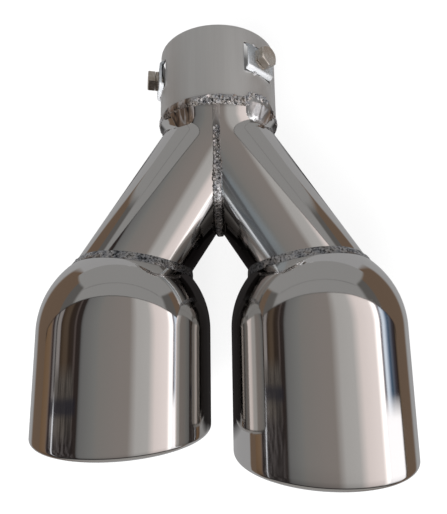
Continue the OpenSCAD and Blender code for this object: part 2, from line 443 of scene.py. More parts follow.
def seam_path(s, count=260):
    """The seam from the top of the collar round the fork and up the back."""
    start = np.arctan2(s.sleeve_r, s.sleeve_len + 0.001 - cross_z(s))
    a = np.linspace(start, -start, count)
    out = np.stack([0 * a, np.sin(a), np.cos(a)], axis=-1)
    origin = np.array([0, 0, cross_z(s)])
    points = origin + skin_reach(s, origin, out, BOTH)[:, None] * out
    run = unit(np.gradient(points, axis=0))
    normal = np.cross(run, [1.0, 0, 0])
    return points, unit(normal * np.sign((normal * out).sum(-1, keepdims=True)))


def shoulder_path(s, side, count=300):
    """The line where a branch tube meets the shoulder of its tip."""
    a = side * np.linspace(0, 2 * math.pi, count, endpoint=False)
    centre = np.array([side * s.tip_x, 0, shoulder_z(s)])
    out, axis = tube_out(s, side, a), tube_axis(s, side)
    base = s.tube_r * out + ALONG * cross_z(s)
    v = base - centre
    b = v @ axis
    points = base + (-b - np.sqrt(b**2 - (v * v).sum(-1) + s.tip_r**2))[:, None] * axis
    return points, unit(out + unit(points - centre))


def weld_paths(s):
    return [collar_path(s), seam_path(s), shoulder_path(s, LEFT), shoulder_path(s, RIGHT)]


# Meshes and pieces


def grid_faces(rows, columns, wrap):
    """Quads of a grid of points, joined round its columns if it wraps."""
    i = np.arange(rows - 1)[:, None] * columns
    j = np.arange(columns if wrap else columns - 1)[None, :]
    k = (j + 1) % columns
    return np.stack([i + j, i + k, i + columns + k, i + columns + j], -1).reshape(-1, 4)


def new_piece(name, points, faces, material, sharp=math.radians(38), core=None):
    """A smooth mesh object with closed poles and its faces outwards, from a core point if it is open."""
    mesh = bpy.data.meshes.new(name)
    mesh.from_pydata(laid(points).reshape(-1, 3).tolist(), [], [list(map(int, f)) for f in faces])
    mesh.materials.append(material)
    shape = bmesh.new()
    shape.from_mesh(mesh)
    bmesh.ops.remove_doubles(shape, verts=shape.verts, dist=2e-6)
    bmesh.ops.recalc_face_normals(shape, faces=shape.faces)
    if core is not None:
        inside = mathutils.Vector(laid(core))
        outward = sum((f.calc_center_median() - inside).dot(f.normal) * f.calc_area() for f in shape.faces)
        if outward < 0:
            bmesh.ops.reverse_faces(shape, faces=shape.faces)
    shape.to_mesh(mesh)
    shape.free()
    mesh.shade_smooth()
    mesh.set_sharp_from_angle(angle=sharp)
    mesh.validate()
    piece = bpy.data.objects.new(name, mesh)
    bpy.context.scene.collection.objects.link(piece)
    return piece


def bake(piece, sharp=math.radians(38)):
    """Turn a piece with modifiers into a plain mesh."""
    evaluated = piece.evaluated_get(bpy.context.evaluated_depsgraph_get())
    mesh = bpy.data.meshes.new_from_object(evaluated)
    piece.modifiers.clear()
    piece.data = mesh
    mesh.set_sharp_from_angle(angle=sharp)
    return piece


def soften(piece, width, angle=40):
    """Round a piece's sharp edges."""
    edges = piece.modifiers.new("Edges", "BEVEL")
    edges.width, edges.segments = width, 2
    edges.limit_method, edges.angle_limit = "ANGLE", math.radians(angle)
    return bake(piece)


def thicken(piece, wall, bevel=0.0, rim=0):
    """Give a skin its wall on the inside, with the dark mill finish there (and on its cut edges, with rim 1);
    that darkness is partly painted shade.
    """
    piece.data.materials.append(material_of("Mill Steel"))
    solid = piece.modifiers.new("Wall", "SOLIDIFY")
    solid.thickness, solid.offset = wall, -1
    solid.material_offset, solid.material_offset_rim = 1, rim
    if bevel:
        return soften(piece, bevel, 50)
    return bake(piece)


def join(pieces, name):
    """One piece from several, made of all their faces."""
    with bpy.context.temp_override(
        active_object=pieces[0], object=pieces[0], selected_editable_objects=pieces
    ):
        bpy.ops.object.join()
    pieces[0].name = pieces[0].data.name = name
    return pieces[0]


def dress(piece, node):
    """Let a piece stand for its CAD node."""
    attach(piece, "root")
    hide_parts(node)


def coordinates(piece):
    """A piece's points in the frame."""
    co = np.empty(len(piece.data.vertices) * 3, np.float32)
    piece.data.vertices.foreach_get("co", co)
    return co.reshape(-1, 3)


def store(piece, name, values):
    """Store a value at each point of a piece, for its finish."""
    attribute = piece.data.attributes.new(name, "FLOAT", "POINT")
    attribute.data.foreach_set("value", np.asarray(values, np.float32))


def mark_heat(s, piece, reach=0.007):
    """Store how near each point is to a weld, for the tint of the heat."""
    co = coordinates(piece)
    path = np.concatenate([laid(points)[::3] for points, _ in weld_paths(s)])
    nearest = np.full(len(co), 1.0)
    for block in np.array_split(path, 12):
        gap = np.linalg.norm(co[:, None, :] - block[None, :, :], axis=-1).min(1)
        nearest = np.minimum(nearest, gap)
    store(piece, "heat", np.exp(-((nearest / reach) ** 2)))


def plateau(value, start, rise, end, fall):
    """0 before start and past end, and 1 between them, with straight slopes inside."""
    return np.clip((value - start) / rise, 0, 1) * np.clip((end - value) / fall, 0, 1)


def mark_crotch(s, piece, side):
    """Store the painted marks between the branches: painted shade, and on the right one a painted cool
    reflection band and a thin painted highlight.
    """
    x, down, up = coordinates(piece).T
    v = np.stack([x, up, -down - cross_z(s)], axis=-1)
    along = v @ tube_axis(s, side)
    across = v @ tube_out(s, side, np.zeros(()))
    round_angle = np.degrees(np.arctan2(np.abs(up), across))
    fade = plateau(along, 0.018, 0.012, 0.095, 0.03)
    # A painted reflection: a blue-grey band on the right branch's inner side
    cool = plateau(round_angle, 111, 5, 136, 6)
    store(piece, "cool", cool * fade * (side == RIGHT))
    # Painted shade: the inner sides towards the fork are darkened, standing in for the dark reflection
    # between the branches
    store(piece, "stain_and_shade", np.clip((round_angle - 131) / 20, 0, 1) * fade)
    # A painted highlight: a thin bright line along the right branch's inner side
    line = np.clip(1.1 - abs(round_angle - 130.5) / 1.5, 0, 1) * np.clip((along - 0.030) / 0.006, 0, 1)
    store(piece, "painted_gleam", line * fade * (side == RIGHT))


def through(places, marks):
    """The line through (place, height) marks, read at each place."""
    return np.interp(places, *np.array(marks, float).T)


# Node trees


def add(tree, kind, values=None, **settings):
    """A node with its settings, and with values or links on its inputs."""
    node = tree.nodes.new(kind)
    for key, value in settings.items():
        setattr(node, key, value)
    for key, value in (values or {}).items():
        if isinstance(value, bpy.types.NodeSocket):
            tree.links.new(value, node.inputs[key])
        else:
            node.inputs[key].default_value = value
    return node


def math_node(tree, operation, *values, clamp=False):
    node = add(tree, "ShaderNodeMath", dict(enumerate(values)), operation=operation)
    node.use_clamp = clamp
    return node.outputs[0]


def ramp(tree, factor, stops, smooth=False):
    """A colour ramp of (position, grey or colour) stops."""
    node = add(tree, "ShaderNodeValToRGB", {0: factor})
    node.color_ramp.interpolation = "EASE" if smooth else "LINEAR"
    elements = node.color_ramp.elements
    for element, (position, colour) in zip(elements, stops):
        element.position = position
    for position, _ in stops[2:]:
        elements.new(position)
    for element, (position, colour) in zip(elements, stops):
        grey = isinstance(colour, (int, float))
        element.color = (*([colour] * 3 if grey else colour), 1)
    return node.outputs["Color"]


def mix_colour(tree, factor, a, b, blend="MIX"):
    node = add(tree, "ShaderNodeMix", {0: factor, 6: a, 7: b}, data_type="RGBA", blend_type=blend)
    return node.outputs[2]


def noise(tree, place, scale, detail=2.0, stretch=(1, 1, 1), roughness=0.5):
    """Noise on object coordinates; a stretch below 1 draws it out along that axis."""
    mapped = add(tree, "ShaderNodeMapping", {"Vector": place, "Scale": stretch})
    return add(
        tree,
        "ShaderNodeTexNoise",
        {"Vector": mapped.outputs[0], "Scale": scale, "Detail": detail, "Roughness": roughness},
    ).outputs["Fac"]


def rgba(colour):
    return (*colour, 1.0)


def stored(tree, name):
    """A value that store() left at the points."""
    return add(tree, "ShaderNodeAttribute", attribute_name=name).outputs["Fac"]


def varied(tree, factor, colour, low, high):
    """A colour times low where the factor is 0, and times high where it is 1."""
    return mix_colour(tree, factor, rgba([c * low for c in colour]), rgba([min(1, c * high) for c in colour]))


def empty_material(name):
    """A material with an empty tree: (material, tree, object coordinates)."""
    material = bpy.data.materials.new(name)
    material.use_nodes = True
    tree = material.node_tree
    tree.nodes.clear()
    return material, tree, add(tree, "ShaderNodeTexCoord").outputs["Object"]


def show(tree, shader):
    """Send a shader to the surface."""
    out = add(tree, "ShaderNodeOutputMaterial")
    tree.links.new(shader.outputs[0], out.inputs["Surface"])


def new_material(name):
    """A metal to be finished: (material, tree, object coordinates, shader)."""
    material, tree, place = empty_material(name)
    shader = add(tree, "ShaderNodeBsdfPrincipled", {"Metallic": 1.0})
    show(tree, shader)
    return material, tree, place, shader


def bump(tree, shader, *layers):
    """Stack (height, strength, distance) layers on the shader's normal."""
    normal = None
    for height, strength, distance in layers:
        node = add(tree, "ShaderNodeBump", {"Height": height, "Strength": strength, "Distance": distance})
        if normal:
            tree.links.new(normal, node.inputs["Normal"])
        normal = node.outputs[0]
    tree.links.new(normal, shader.inputs["Normal"])


def heat_tint(tree, place, colour):
    """The metal's colour, with straw, bronze and blue where the heat attribute is high."""
    heat = stored(tree, "heat")
    patchy = ramp(tree, noise(tree, place, 90), [(0.3, 0.25), (0.7, 1.1)])
    uneven = math_node(tree, "MULTIPLY", heat, patchy)
    tint = ramp(
        tree,
        uneven,
        [
            (0.0, (1, 1, 1)),
            (0.45, (1, 0.985, 0.96)),
            (0.75, (0.93, 0.86, 0.76)),
            (0.92, (0.78, 0.70, 0.66)),
            (1.0, (0.62, 0.64, 0.70)),
        ],
    )
    return mix_colour(tree, 1.0, colour, tint, "MULTIPLY")


# Tones that the marks stored at the points bring out: painted reflections, painted shade and painted
# highlights, and the real brown of burnt weld
PAINTED_COOL_REFLECTION = (0.66, 0.73, 0.775)
PAINTED_SHADE_BROWN = (0.07, 0.06, 0.055)
PAINTED_GLEAM_WHITE = (0.95, 0.96, 0.98)
PAINTED_LEG_HIGHLIGHT = (0.62, 0.63, 0.65)
PAINTED_GLINT_WHITE = (0.95, 0.95, 0.97)
BURNT_BROWN = (0.27, 0.20, 0.155)
PAINTED_CROWN_SHEEN = (0.56, 0.525, 0.49)


def polished_steel(name, colour):
    """Mirror-polished steel with faint cloudy smudges, fine polishing lines and a slight ripple, and the
    painted shade, painted reflection and painted highlight stored between the branches.
    """
    material, tree, place, shader = new_material(name)
    cloud = noise(tree, place, 26, 3)
    lines = noise(tree, place, 700, 2, (0.06, 1.0, 0.06))
    grain = noise(tree, place, 900, 2, (1.0, 0.03, 1.0))
    worn = varied(tree, cloud, colour, 0.985, 1.015)
    cool, stain_and_shade, painted_gleam = [stored(tree, mark) for mark in ("cool", "stain_and_shade", "painted_gleam")]
    # Painted reflection: the blue-grey band on the right branch
    worn = mix_colour(tree, cool, worn, rgba(PAINTED_COOL_REFLECTION))
    # Painted shade towards the fork between the branches
    worn = mix_colour(tree, math_node(tree, "MULTIPLY", stain_and_shade, 0.82), worn, rgba(PAINTED_SHADE_BROWN))
    # Painted highlight: the thin white line, made less metallic so that its colour shows
    worn = mix_colour(tree, painted_gleam, worn, rgba(PAINTED_GLEAM_WHITE))
    dull = math_node(tree, "MULTIPLY_ADD", painted_gleam, 0.28, math_node(tree, "MULTIPLY", cool, 0.035))
    tree.links.new(math_node(tree, "SUBTRACT", 1.0, dull, clamp=True), shader.inputs["Metallic"])
    tree.links.new(heat_tint(tree, place, worn), shader.inputs["Base Color"])
    smudge = ramp(tree, cloud, [(0.35, 0.045), (0.75, 0.085)], smooth=True)
    fine = ramp(tree, math_node(tree, "MULTIPLY", lines, grain), [(0.2, 0.0), (0.5, 0.03)])
    rough = math_node(tree, "ADD", smudge, fine)
    tree.links.new(rough, shader.inputs["Roughness"])
    bump(
        tree,
        shader,
        (noise(tree, place, 22, 1), 0.05, 0.002),
        (lines, 0.02, 0.0001),
        (grain, 0.02, 0.0001),
    )
    return material


def sleeve_steel(name, colour):
    """Drawn tube steel with fine streaks along the sleeve, duller than the polished pieces."""
    material, tree, place, shader = new_material(name)
    streaks = noise(tree, place, 1300, 3, (1.0, 0.02, 1.0), 0.6)
    bands = noise(tree, place, 160, 3, (1.0, 0.06, 1.0), 0.6)
    shade = varied(tree, ramp(tree, bands, [(0.3, 0.0), (0.7, 1.0)]), colour, 0.96, 1.03)
    tree.links.new(heat_tint(tree, place, shade), shader.inputs["Base Color"])
    shader.inputs["Metallic"].default_value = 0.95
    tree.links.new(ramp(tree, streaks, [(0.3, 0.42), (0.7, 0.55)]), shader.inputs["Roughness"])
    bump(tree, shader, (noise(tree, place, 30, 1), 0.05, 0.002), (streaks, 0.12, 0.0001))
    return material


def plated_steel(name, colour):
    """Zinc-plated sheet with a fine crystalline cloud, and a painted highlight on its lower leg."""
    material, tree, place, shader = new_material(name)
    spangle = noise(tree, place, 500, 4)
    shade = varied(tree, spangle, colour, 0.92, 1.06)
    # Painted highlight: the lower leg is lighter and less metallic
    leg = stored(tree, "leg")
    tree.links.new(mix_colour(tree, leg, shade, rgba(PAINTED_LEG_HIGHLIGHT)), shader.inputs["Base Color"])
    tree.links.new(math_node(tree, "MULTIPLY_ADD", leg, -0.4, 0.85), shader.inputs["Metallic"])
    tree.links.new(ramp(tree, spangle, [(0.3, 0.22), (0.7, 0.38)]), shader.inputs["Roughness"])
    bump(tree, shader, (noise(tree, place, 1500, 3), 0.1, 0.0001), (noise(tree, place, 120, 2), 0.1, 0.0004))
    return material


def mill_steel_and_shade(name, colour):
    """Unpolished rolled steel of the inner walls, dull and unevenly stained, and darkened as painted shade
    for the inside.
    """
    material, tree, place, shader = new_material(name)
    stain_and_shade = noise(tree, place, 40, 4)
    shade = varied(tree, ramp(tree, stain_and_shade, [(0.35, 0.0), (0.65, 1.0)]), colour, 0.75, 1.2)
    tree.links.new(shade, shader.inputs["Base Color"])
    tree.links.new(ramp(tree, stain_and_shade, [(0.3, 0.38), (0.7, 0.55)]), shader.inputs["Roughness"])
    bump(tree, shader, (noise(tree, place, 700, 3), 0.25, 0.0001))
    return material


def weld_finish(tree, place, shader, colour):
    """End a weld's colour: soot darkens it, and painted highlights turn bright spots nearly white."""
    clean = math_node(tree, "MULTIPLY_ADD", stored(tree, "soot"), -0.93, 1.0)
    grey = add(tree, "ShaderNodeCombineXYZ", {0: clean, 1: clean, 2: clean}).outputs[0]
    # Painted highlights: marked spots turned nearly white and less metallic
    marked = stored(tree, "painted_glint")
    spots = ramp(tree, noise(tree, place, 600, 2), [(0.42, 0.2), (0.56, 1.0)])
    painted_glint = math_node(tree, "MULTIPLY", marked, spots)
    bright = mix_colour(tree, painted_glint, colour, rgba(PAINTED_GLINT_WHITE))
    tree.links.new(mix_colour(tree, 1.0, bright, grey, "MULTIPLY"), shader.inputs["Base Color"])
    tree.links.new(math_node(tree, "MULTIPLY_ADD", painted_glint, -0.5, 0.93), shader.inputs["Metallic"])


def weld_metal(name, colour):
    """Weld metal whose ripples go from bright silver to brown and blue, with soot in the low places."""
    material, tree, place, shader = new_material(name)
    patch = noise(tree, place, 240, 3, roughness=0.6)
    fleck = noise(tree, place, 900, 3, roughness=0.7)
    tint = ramp(
        tree,
        patch,
        [
            (0.30, (0.24, 0.26, 0.30)),
            (0.42, (0.88, 0.90, 0.95)),
            (0.54, (1.24, 1.22, 1.22)),
            (0.66, (0.90, 0.84, 0.78)),
            (0.78, (0.30, 0.24, 0.20)),
        ],
    )
    base = mix_colour(tree, 1.0, rgba(colour), tint, "MULTIPLY")
    burn = math_node(tree, "MULTIPLY", stored(tree, "burn"), 0.8)
    base = mix_colour(tree, burn, base, rgba(BURNT_BROWN))
    low = ramp(tree, fleck, [(0.38, 0.06), (0.53, 1.0)])
    weld_finish(tree, place, shader, mix_colour(tree, 1.0, base, low, "MULTIPLY"))
    tree.links.new(ramp(tree, fleck, [(0.35, 0.26), (0.65, 0.12)]), shader.inputs["Roughness"])
    bump(tree, shader, (fleck, 0.16, 0.0002))
    return material


def melted_weld(name, colour):
    """The smooth melted parts of a bead: silver, with bronze and blackish stripes where they are burnt."""
    material, tree, place, shader = new_material(name)
    stripe = noise(tree, place, 260, 2, (1.0, 0.10, 0.5), 0.6)
    cloud = noise(tree, place, 120, 2)
    bronze = ramp(
        tree,
        stripe,
        [
            (0.36, (0.06, 0.05, 0.045)),
            (0.45, (0.34, 0.25, 0.19)),
            (0.54, (0.48, 0.37, 0.30)),
            (0.60, (0.80, 0.77, 0.76)),
            (0.66, (0.30, 0.22, 0.17)),
        ],
    )
    silver = varied(tree, ramp(tree, cloud, [(0.35, 0.0), (0.6, 1.0)]), colour, 0.28, 0.66)
    weld_finish(tree, place, shader, mix_colour(tree, stored(tree, "burn"), silver, bronze))
    shader.inputs["Roughness"].default_value = 0.3
    bump(tree, shader, (noise(tree, place, 170, 2), 0.14, 0.0006))
    return material


def fastener_steel(name, colour):
    """Machined bolt steel, warm and slightly dull, with faint tool marks and paler crowns that are a painted
    reflection.
    """
    material, tree, place, shader = new_material(name)
    marks = noise(tree, place, 1400, 3)
    stain_and_shade = noise(tree, place, 260, 3)
    shade = mix_colour(
        tree,
        ramp(tree, stain_and_shade, [(0.35, 0.0), (0.65, 1.0)]),
        rgba([colour[0] * 0.72, colour[1] * 0.68, colour[2] * 0.63]),
        rgba([min(1, c * 1.12) for c in colour]),
    )
    # Painted reflection: the head's top face is paler and less metallic, as if it reflected a pale room
    crown = stored(tree, "crown")
    pale = mix_colour(tree, math_node(tree, "MULTIPLY", crown, 0.5), shade, rgba(PAINTED_CROWN_SHEEN))
    tree.links.new(pale, shader.inputs["Base Color"])
    tree.links.new(math_node(tree, "MULTIPLY_ADD", crown, -0.12, 1.0), shader.inputs["Metallic"])
    tree.links.new(ramp(tree, marks, [(0.3, 0.14), (0.7, 0.28)]), shader.inputs["Roughness"])
    bump(tree, shader, (marks, 0.12, 0.0001))
    return material


def material_of(name):
    """The finish of the given name, made once."""
    found = bpy.data.materials.get(name)
    if found:
        return found
    c = colours()
    makers = {
        "Polished Steel": (polished_steel, c.polished),
        "Sleeve Steel": (sleeve_steel, c.sleeve),
        "Plated Steel": (plated_steel, c.seat),
        "Mill Steel": (mill_steel_and_shade, c.mill),
        "Weld Metal": (weld_metal, c.weld),
        "Melted Weld": (melted_weld, c.weld),
        "Fastener Steel": (fastener_steel, c.fastener),
    }
    make, colour = makers[name]
    return make(name, tuple(colour))


# Geometry node trees: weld ripples and bolt threads


def node_group(name, inputs):
    """A geometry tree with named inputs: (tree, input sockets by name, output node)."""
    tree = bpy.data.node_groups.new(name, "GeometryNodeTree")
    tree.interface.new_socket("Geometry", in_out="INPUT", socket_type="NodeSocketGeometry")
    for key, (kind, default) in inputs.items():
        socket = tree.interface.new_socket(key, in_out="INPUT", socket_type=kind)
        if default is not None:
            socket.default_value = default
    tree.interface.new_socket("Geometry", in_out="OUTPUT", socket_type="NodeSocketGeometry")
    start, end = tree.nodes.new("NodeGroupInput"), tree.nodes.new("NodeGroupOutput")
    return tree, start.outputs, end


def finish_tree(tree, geometry, material, end):
    """End a tree with smooth, real faces that have their material."""
    real = add(tree, "GeometryNodeRealizeInstances", {0: geometry}).outputs[0]
    smooth = add(tree, "GeometryNodeSetShadeSmooth", {0: real}).outputs[0]
    done = add(tree, "GeometryNodeSetMaterial", {0: smooth, "Material": material}).outputs[0]
    tree.links.new(done, end.inputs[0])


def run_tree(piece, tree, values):
    """Put a tree on a piece, set its inputs by identifier, and keep the result as a plain mesh."""
    modifier = piece.modifiers.new(tree.name, "NODES")
    modifier.node_group = tree
    for item in tree.interface.items_tree:
        if item.in_out == "INPUT" and item.name in values:
            modifier[item.identifier] = values[item.name]
    return bake(piece)


def ripple_tree():
    """Overlapping tilted discs along a path, as a torch leaves them, stood up by the path's up attribute."""
    found = bpy.data.node_groups.get("Weld Ripples")
    if found:
        return found
    tree, given, end = node_group(
        "Weld Ripples",
        {
            "Pitch": ("NodeSocketFloat", 0.00095),
            "Ripple Radius": ("NodeSocketFloat", 0.002),
            "Ripple Height": ("NodeSocketFloat", 0.0006),
            "Tilt": ("NodeSocketFloat", 0.2),
            "Rim": ("NodeSocketFloat", 0.8),
            "Wander": ("NodeSocketFloat", 0.0003),
            "Seed": ("NodeSocketInt", 0),
            "Material": ("NodeSocketMaterial", None),
        },
    )
    line = add(tree, "GeometryNodeMeshToCurve", {0: given["Geometry"]}).outputs[0]
    dots = add(
        tree, "GeometryNodeResampleCurve", {"Curve": line, "Length": given["Pitch"]}, mode="LENGTH"
    ).outputs[0]
    up = add(tree, "GeometryNodeInputNamedAttribute", {"Name": "up"}, data_type="FLOAT_VECTOR").outputs[0]
    run = add(tree, "GeometryNodeInputTangent").outputs[0]
    across = add(tree, "ShaderNodeVectorMath", {0: up, 1: run}, operation="CROSS_PRODUCT").outputs[0]

    def spread(low, high, shift):
        """A random value for each ripple."""
        seed = math_node(tree, "ADD", given["Seed"], float(shift))
        return add(
            tree,
            "FunctionNodeRandomValue",
            {2: low, 3: high, "Seed": seed},
            data_type="FLOAT",
        ).outputs[1]

    sway = math_node(tree, "MULTIPLY", spread(-1.0, 1.0, 1), given["Wander"])
    aside = add(tree, "ShaderNodeVectorMath", {0: across, "Scale": sway}, operation="SCALE").outputs[0]
    moved = add(tree, "GeometryNodeSetPosition", {"Geometry": dots, "Offset": aside}).outputs[0]
    ball = add(tree, "GeometryNodeMeshUVSphere", {"Segments": 12, "Rings": 6, "Radius": 1.0}).outputs[0]
    bx, by, bz = add(
        tree, "ShaderNodeSeparateXYZ", {0: tree.nodes.new("GeometryNodeInputPosition").outputs[0]}
    ).outputs
    outward = math_node(tree, "MULTIPLY_ADD", bx, bx, math_node(tree, "MULTIPLY", by, by))
    dish = math_node(tree, "MULTIPLY", given["Rim"], math_node(tree, "MULTIPLY_ADD", outward, 2.0, -1.0))
    depth = math_node(tree, "MULTIPLY", bz, dish)
    sunk = add(tree, "ShaderNodeCombineXYZ", {2: depth}).outputs[0]
    disc = add(tree, "GeometryNodeSetPosition", {"Geometry": ball, "Offset": sunk}).outputs[0]
    frame_turn = add(
        tree,
        "FunctionNodeAxesToRotation",
        {"Primary Axis": up, "Secondary Axis": run},
        primary_axis="Z",
        secondary_axis="X",
    ).outputs[0]
    lean = math_node(tree, "MULTIPLY", given["Tilt"], spread(0.6, 1.4, 2))
    local = add(tree, "ShaderNodeCombineXYZ", {1: lean, 2: spread(-0.3, 0.3, 3)}).outputs[0]
    turn = add(
        tree,
        "FunctionNodeRotateRotation",
        {0: frame_turn, 1: add(tree, "FunctionNodeEulerToRotation", {0: local}).outputs[0]},
        rotation_space="LOCAL",
    ).outputs[0]
    wide = math_node(tree, "MULTIPLY", given["Ripple Radius"], spread(0.86, 1.1, 4))
    high = math_node(tree, "MULTIPLY", given["Ripple Height"], spread(0.8, 1.25, 5))
    size = add(tree, "ShaderNodeCombineXYZ", {0: wide, 1: wide, 2: high}).outputs[0]
    discs = add(
        tree,
        "GeometryNodeInstanceOnPoints",
        {"Points": moved, "Instance": disc, "Rotation": turn, "Scale": size},
    ).outputs[0]
    finish_tree(tree, discs, given["Material"], end)
    return tree


def thread_tree():
    """A round shank with a thread ridge wound up it, both along Z."""
    found = bpy.data.node_groups.get("Bolt Thread")
    if found:
        return found
    tree, given, end = node_group(
        "Bolt Thread",
        {
            "Radius": ("NodeSocketFloat", 0.003),
            "Depth": ("NodeSocketFloat", 0.0005),
            "Pitch": ("NodeSocketFloat", 0.001),
            "Length": ("NodeSocketFloat", 0.006),
            "Material": ("NodeSocketMaterial", None),
        },
    )
    core = math_node(tree, "SUBTRACT", given["Radius"], given["Depth"])
    wound_length = math_node(tree, "SUBTRACT", given["Length"], given["Pitch"])
    turns = math_node(tree, "DIVIDE", wound_length, given["Pitch"])
    rise = math_node(tree, "MULTIPLY", turns, given["Pitch"])
    coil = add(
        tree,
        "GeometryNodeCurveSpiral",
        {"Resolution": 28, "Rotations": turns, "Start Radius": core, "End Radius": core, "Height": rise},
    ).outputs[0]
    ridge = add(
        tree, "GeometryNodeCurvePrimitiveCircle", {"Resolution": 4, "Radius": given["Depth"]}
    ).outputs[0]
    wound = add(
        tree, "GeometryNodeCurveToMesh", {"Curve": coil, "Profile Curve": ridge, "Fill Caps": True}
    ).outputs[0]
    half_pitch = math_node(tree, "MULTIPLY", given["Pitch"], 0.5)
    lift = add(tree, "ShaderNodeCombineXYZ", {2: half_pitch}).outputs[0]
    lifted = add(tree, "GeometryNodeTransform", {"Geometry": wound, "Translation": lift}).outputs[0]
    rod = add(
        tree,
        "GeometryNodeMeshCylinder",
        {"Vertices": 32, "Radius": core, "Depth": given["Length"]},
    ).outputs[0]
    middle = add(
        tree, "ShaderNodeCombineXYZ", {2: math_node(tree, "MULTIPLY", given["Length"], 0.5)}
    ).outputs[0]
    centred = add(tree, "GeometryNodeTransform", {"Geometry": rod, "Translation": middle}).outputs[0]
    both = tree.nodes.new("GeometryNodeJoinGeometry")
    tree.links.new(lifted, both.inputs[0])
    tree.links.new(centred, both.inputs[0])
    finish_tree(tree, both.outputs[0], given["Material"], end)
    return tree


# Tubes


def make_sleeve(s):
    """The inlet sleeve, with its three windows."""
    half = math.asin(s.window_w / 2 / s.sleeve_r)
    marks = []
    for number in CLAMPS:
        middle = clamp_angle(s, number)
        marks += [middle - half, middle + half]
    marks.append(marks[0] + 2 * math.pi)
    angles, open_columns = [], []
    for k, (a, b) in enumerate(zip(marks, marks[1:])):
        count = max(2, round((b - a) / math.radians(1.5)))
        open_columns += [k % 2 == 0] * count
        angles += list(np.linspace(a, b, count, endpoint=False))
    near, far = s.clamp_down - s.window_len / 2, s.clamp_down + s.window_len / 2
    heights = np.concatenate(
        [
            np.linspace(0, near, 6)[:-1],
            np.linspace(near, far, 9)[:-1],
            np.linspace(far, s.sleeve_len - 0.00005, 11),
        ]
    )
    a = np.array(angles)
    ring = np.stack([np.sin(a), np.cos(a), 0 * a], -1) * s.sleeve_r
    points = ring[None] + heights[:, None, None] * ALONG
    faces = grid_faces(len(heights), len(a), True)
    row, column = np.divmod(np.arange(len(faces)), len(a))
    middle_z = (heights[row] + heights[row + 1]) / 2
    cut = (middle_z > near) & (middle_z < far) & np.array(open_columns)[column]
    centre = ALONG * s.sleeve_len / 2
    piece = new_piece("sleeve_tube", points, faces[~cut], material_of("Sleeve Steel"), core=centre)
    # The window edges take the dark inner finish too, painted shade for the gaps beside the seats
    thicken(piece, s.sleeve_wall, bevel=0.00015, rim=1)
    mark_heat(s, piece)
    dress(piece, "inlet_sleeve")


def branch_section(s, side, z):
    """Centre and outward direction of a branch's sections: a fan at the collar, then square to the tube."""
    fan_end, fan_start = 0.014, s.sleeve_len - cross_z(s)
    beta, axis = s.branch_angle, tube_axis(s, side)
    last = ALONG * cross_z(s) + fan_end * axis
    pivot_x = abs(last[0]) + (last[2] - s.sleeve_len) / math.tan(beta)
    last_length = (pivot_x - abs(last[0])) / math.cos(beta)
    share = np.clip((z - fan_start) / (fan_end - fan_start), 0, 1)
    turn = beta * share
    out = np.stack([side * np.cos(turn), 0 * turn, -np.sin(turn)], -1)
    pivot = np.array([side * pivot_x, 0, s.sleeve_len])
    centre = pivot - (pivot_x + (last_length - pivot_x) * share)[..., None] * out
    return centre + np.maximum(z - fan_end, 0)[..., None] * axis, out


def branch_point(s, side, a, z):
    """Points on a branch's skin at the angles a and the distances z along it."""
    centre, out = branch_section(s, side, z)
    ray = np.cos(a)[..., None] * out + np.sin(a)[..., None] * UP
    return centre + skin_reach(s, centre, ray, side)[..., None] * ray


def make_branch(s, name, side, rows=150, columns=216):
    """A branch tube, from the collar joint and the seam to its tip's shoulder."""
    a = np.linspace(0, 2 * math.pi, columns, endpoint=False)
    start = np.full(columns, s.sleeve_len - cross_z(s))
    low, high = start.copy(), np.full(columns, 0.055)
    inner = np.cos(a) < -1e-9
    for _ in range(26):
        middle = (low + high) / 2
        crossed = side * branch_point(s, side, a, middle)[:, 0] > 0
        low, high = np.where(crossed, low, middle), np.where(crossed, middle, high)
    start = np.where(inner, high, start)
    corner, _ = shoulder_path(s, RIGHT, columns)
    along = (corner - ALONG * cross_z(s)) @ tube_axis(s, RIGHT) + 0.0006
    w = np.linspace(0, 1, rows)[:, None] ** 1.25
    z = start + (along - start) * w
    points = branch_point(s, side, np.broadcast_to(a, z.shape), z)
    points[0, inner, 0] = 0
    faces = grid_faces(rows, columns, True)
    steel, centre = material_of("Polished Steel"), ALONG * cross_z(s) + 0.03 * tube_axis(s, side)
    piece = new_piece(name + "_branch", points, faces, steel, math.radians(50), centre)
    thicken(piece, s.tube_wall)
    mark_heat(s, piece)
    mark_crotch(s, piece, side)
    dress(piece, name + "_branch_tube")


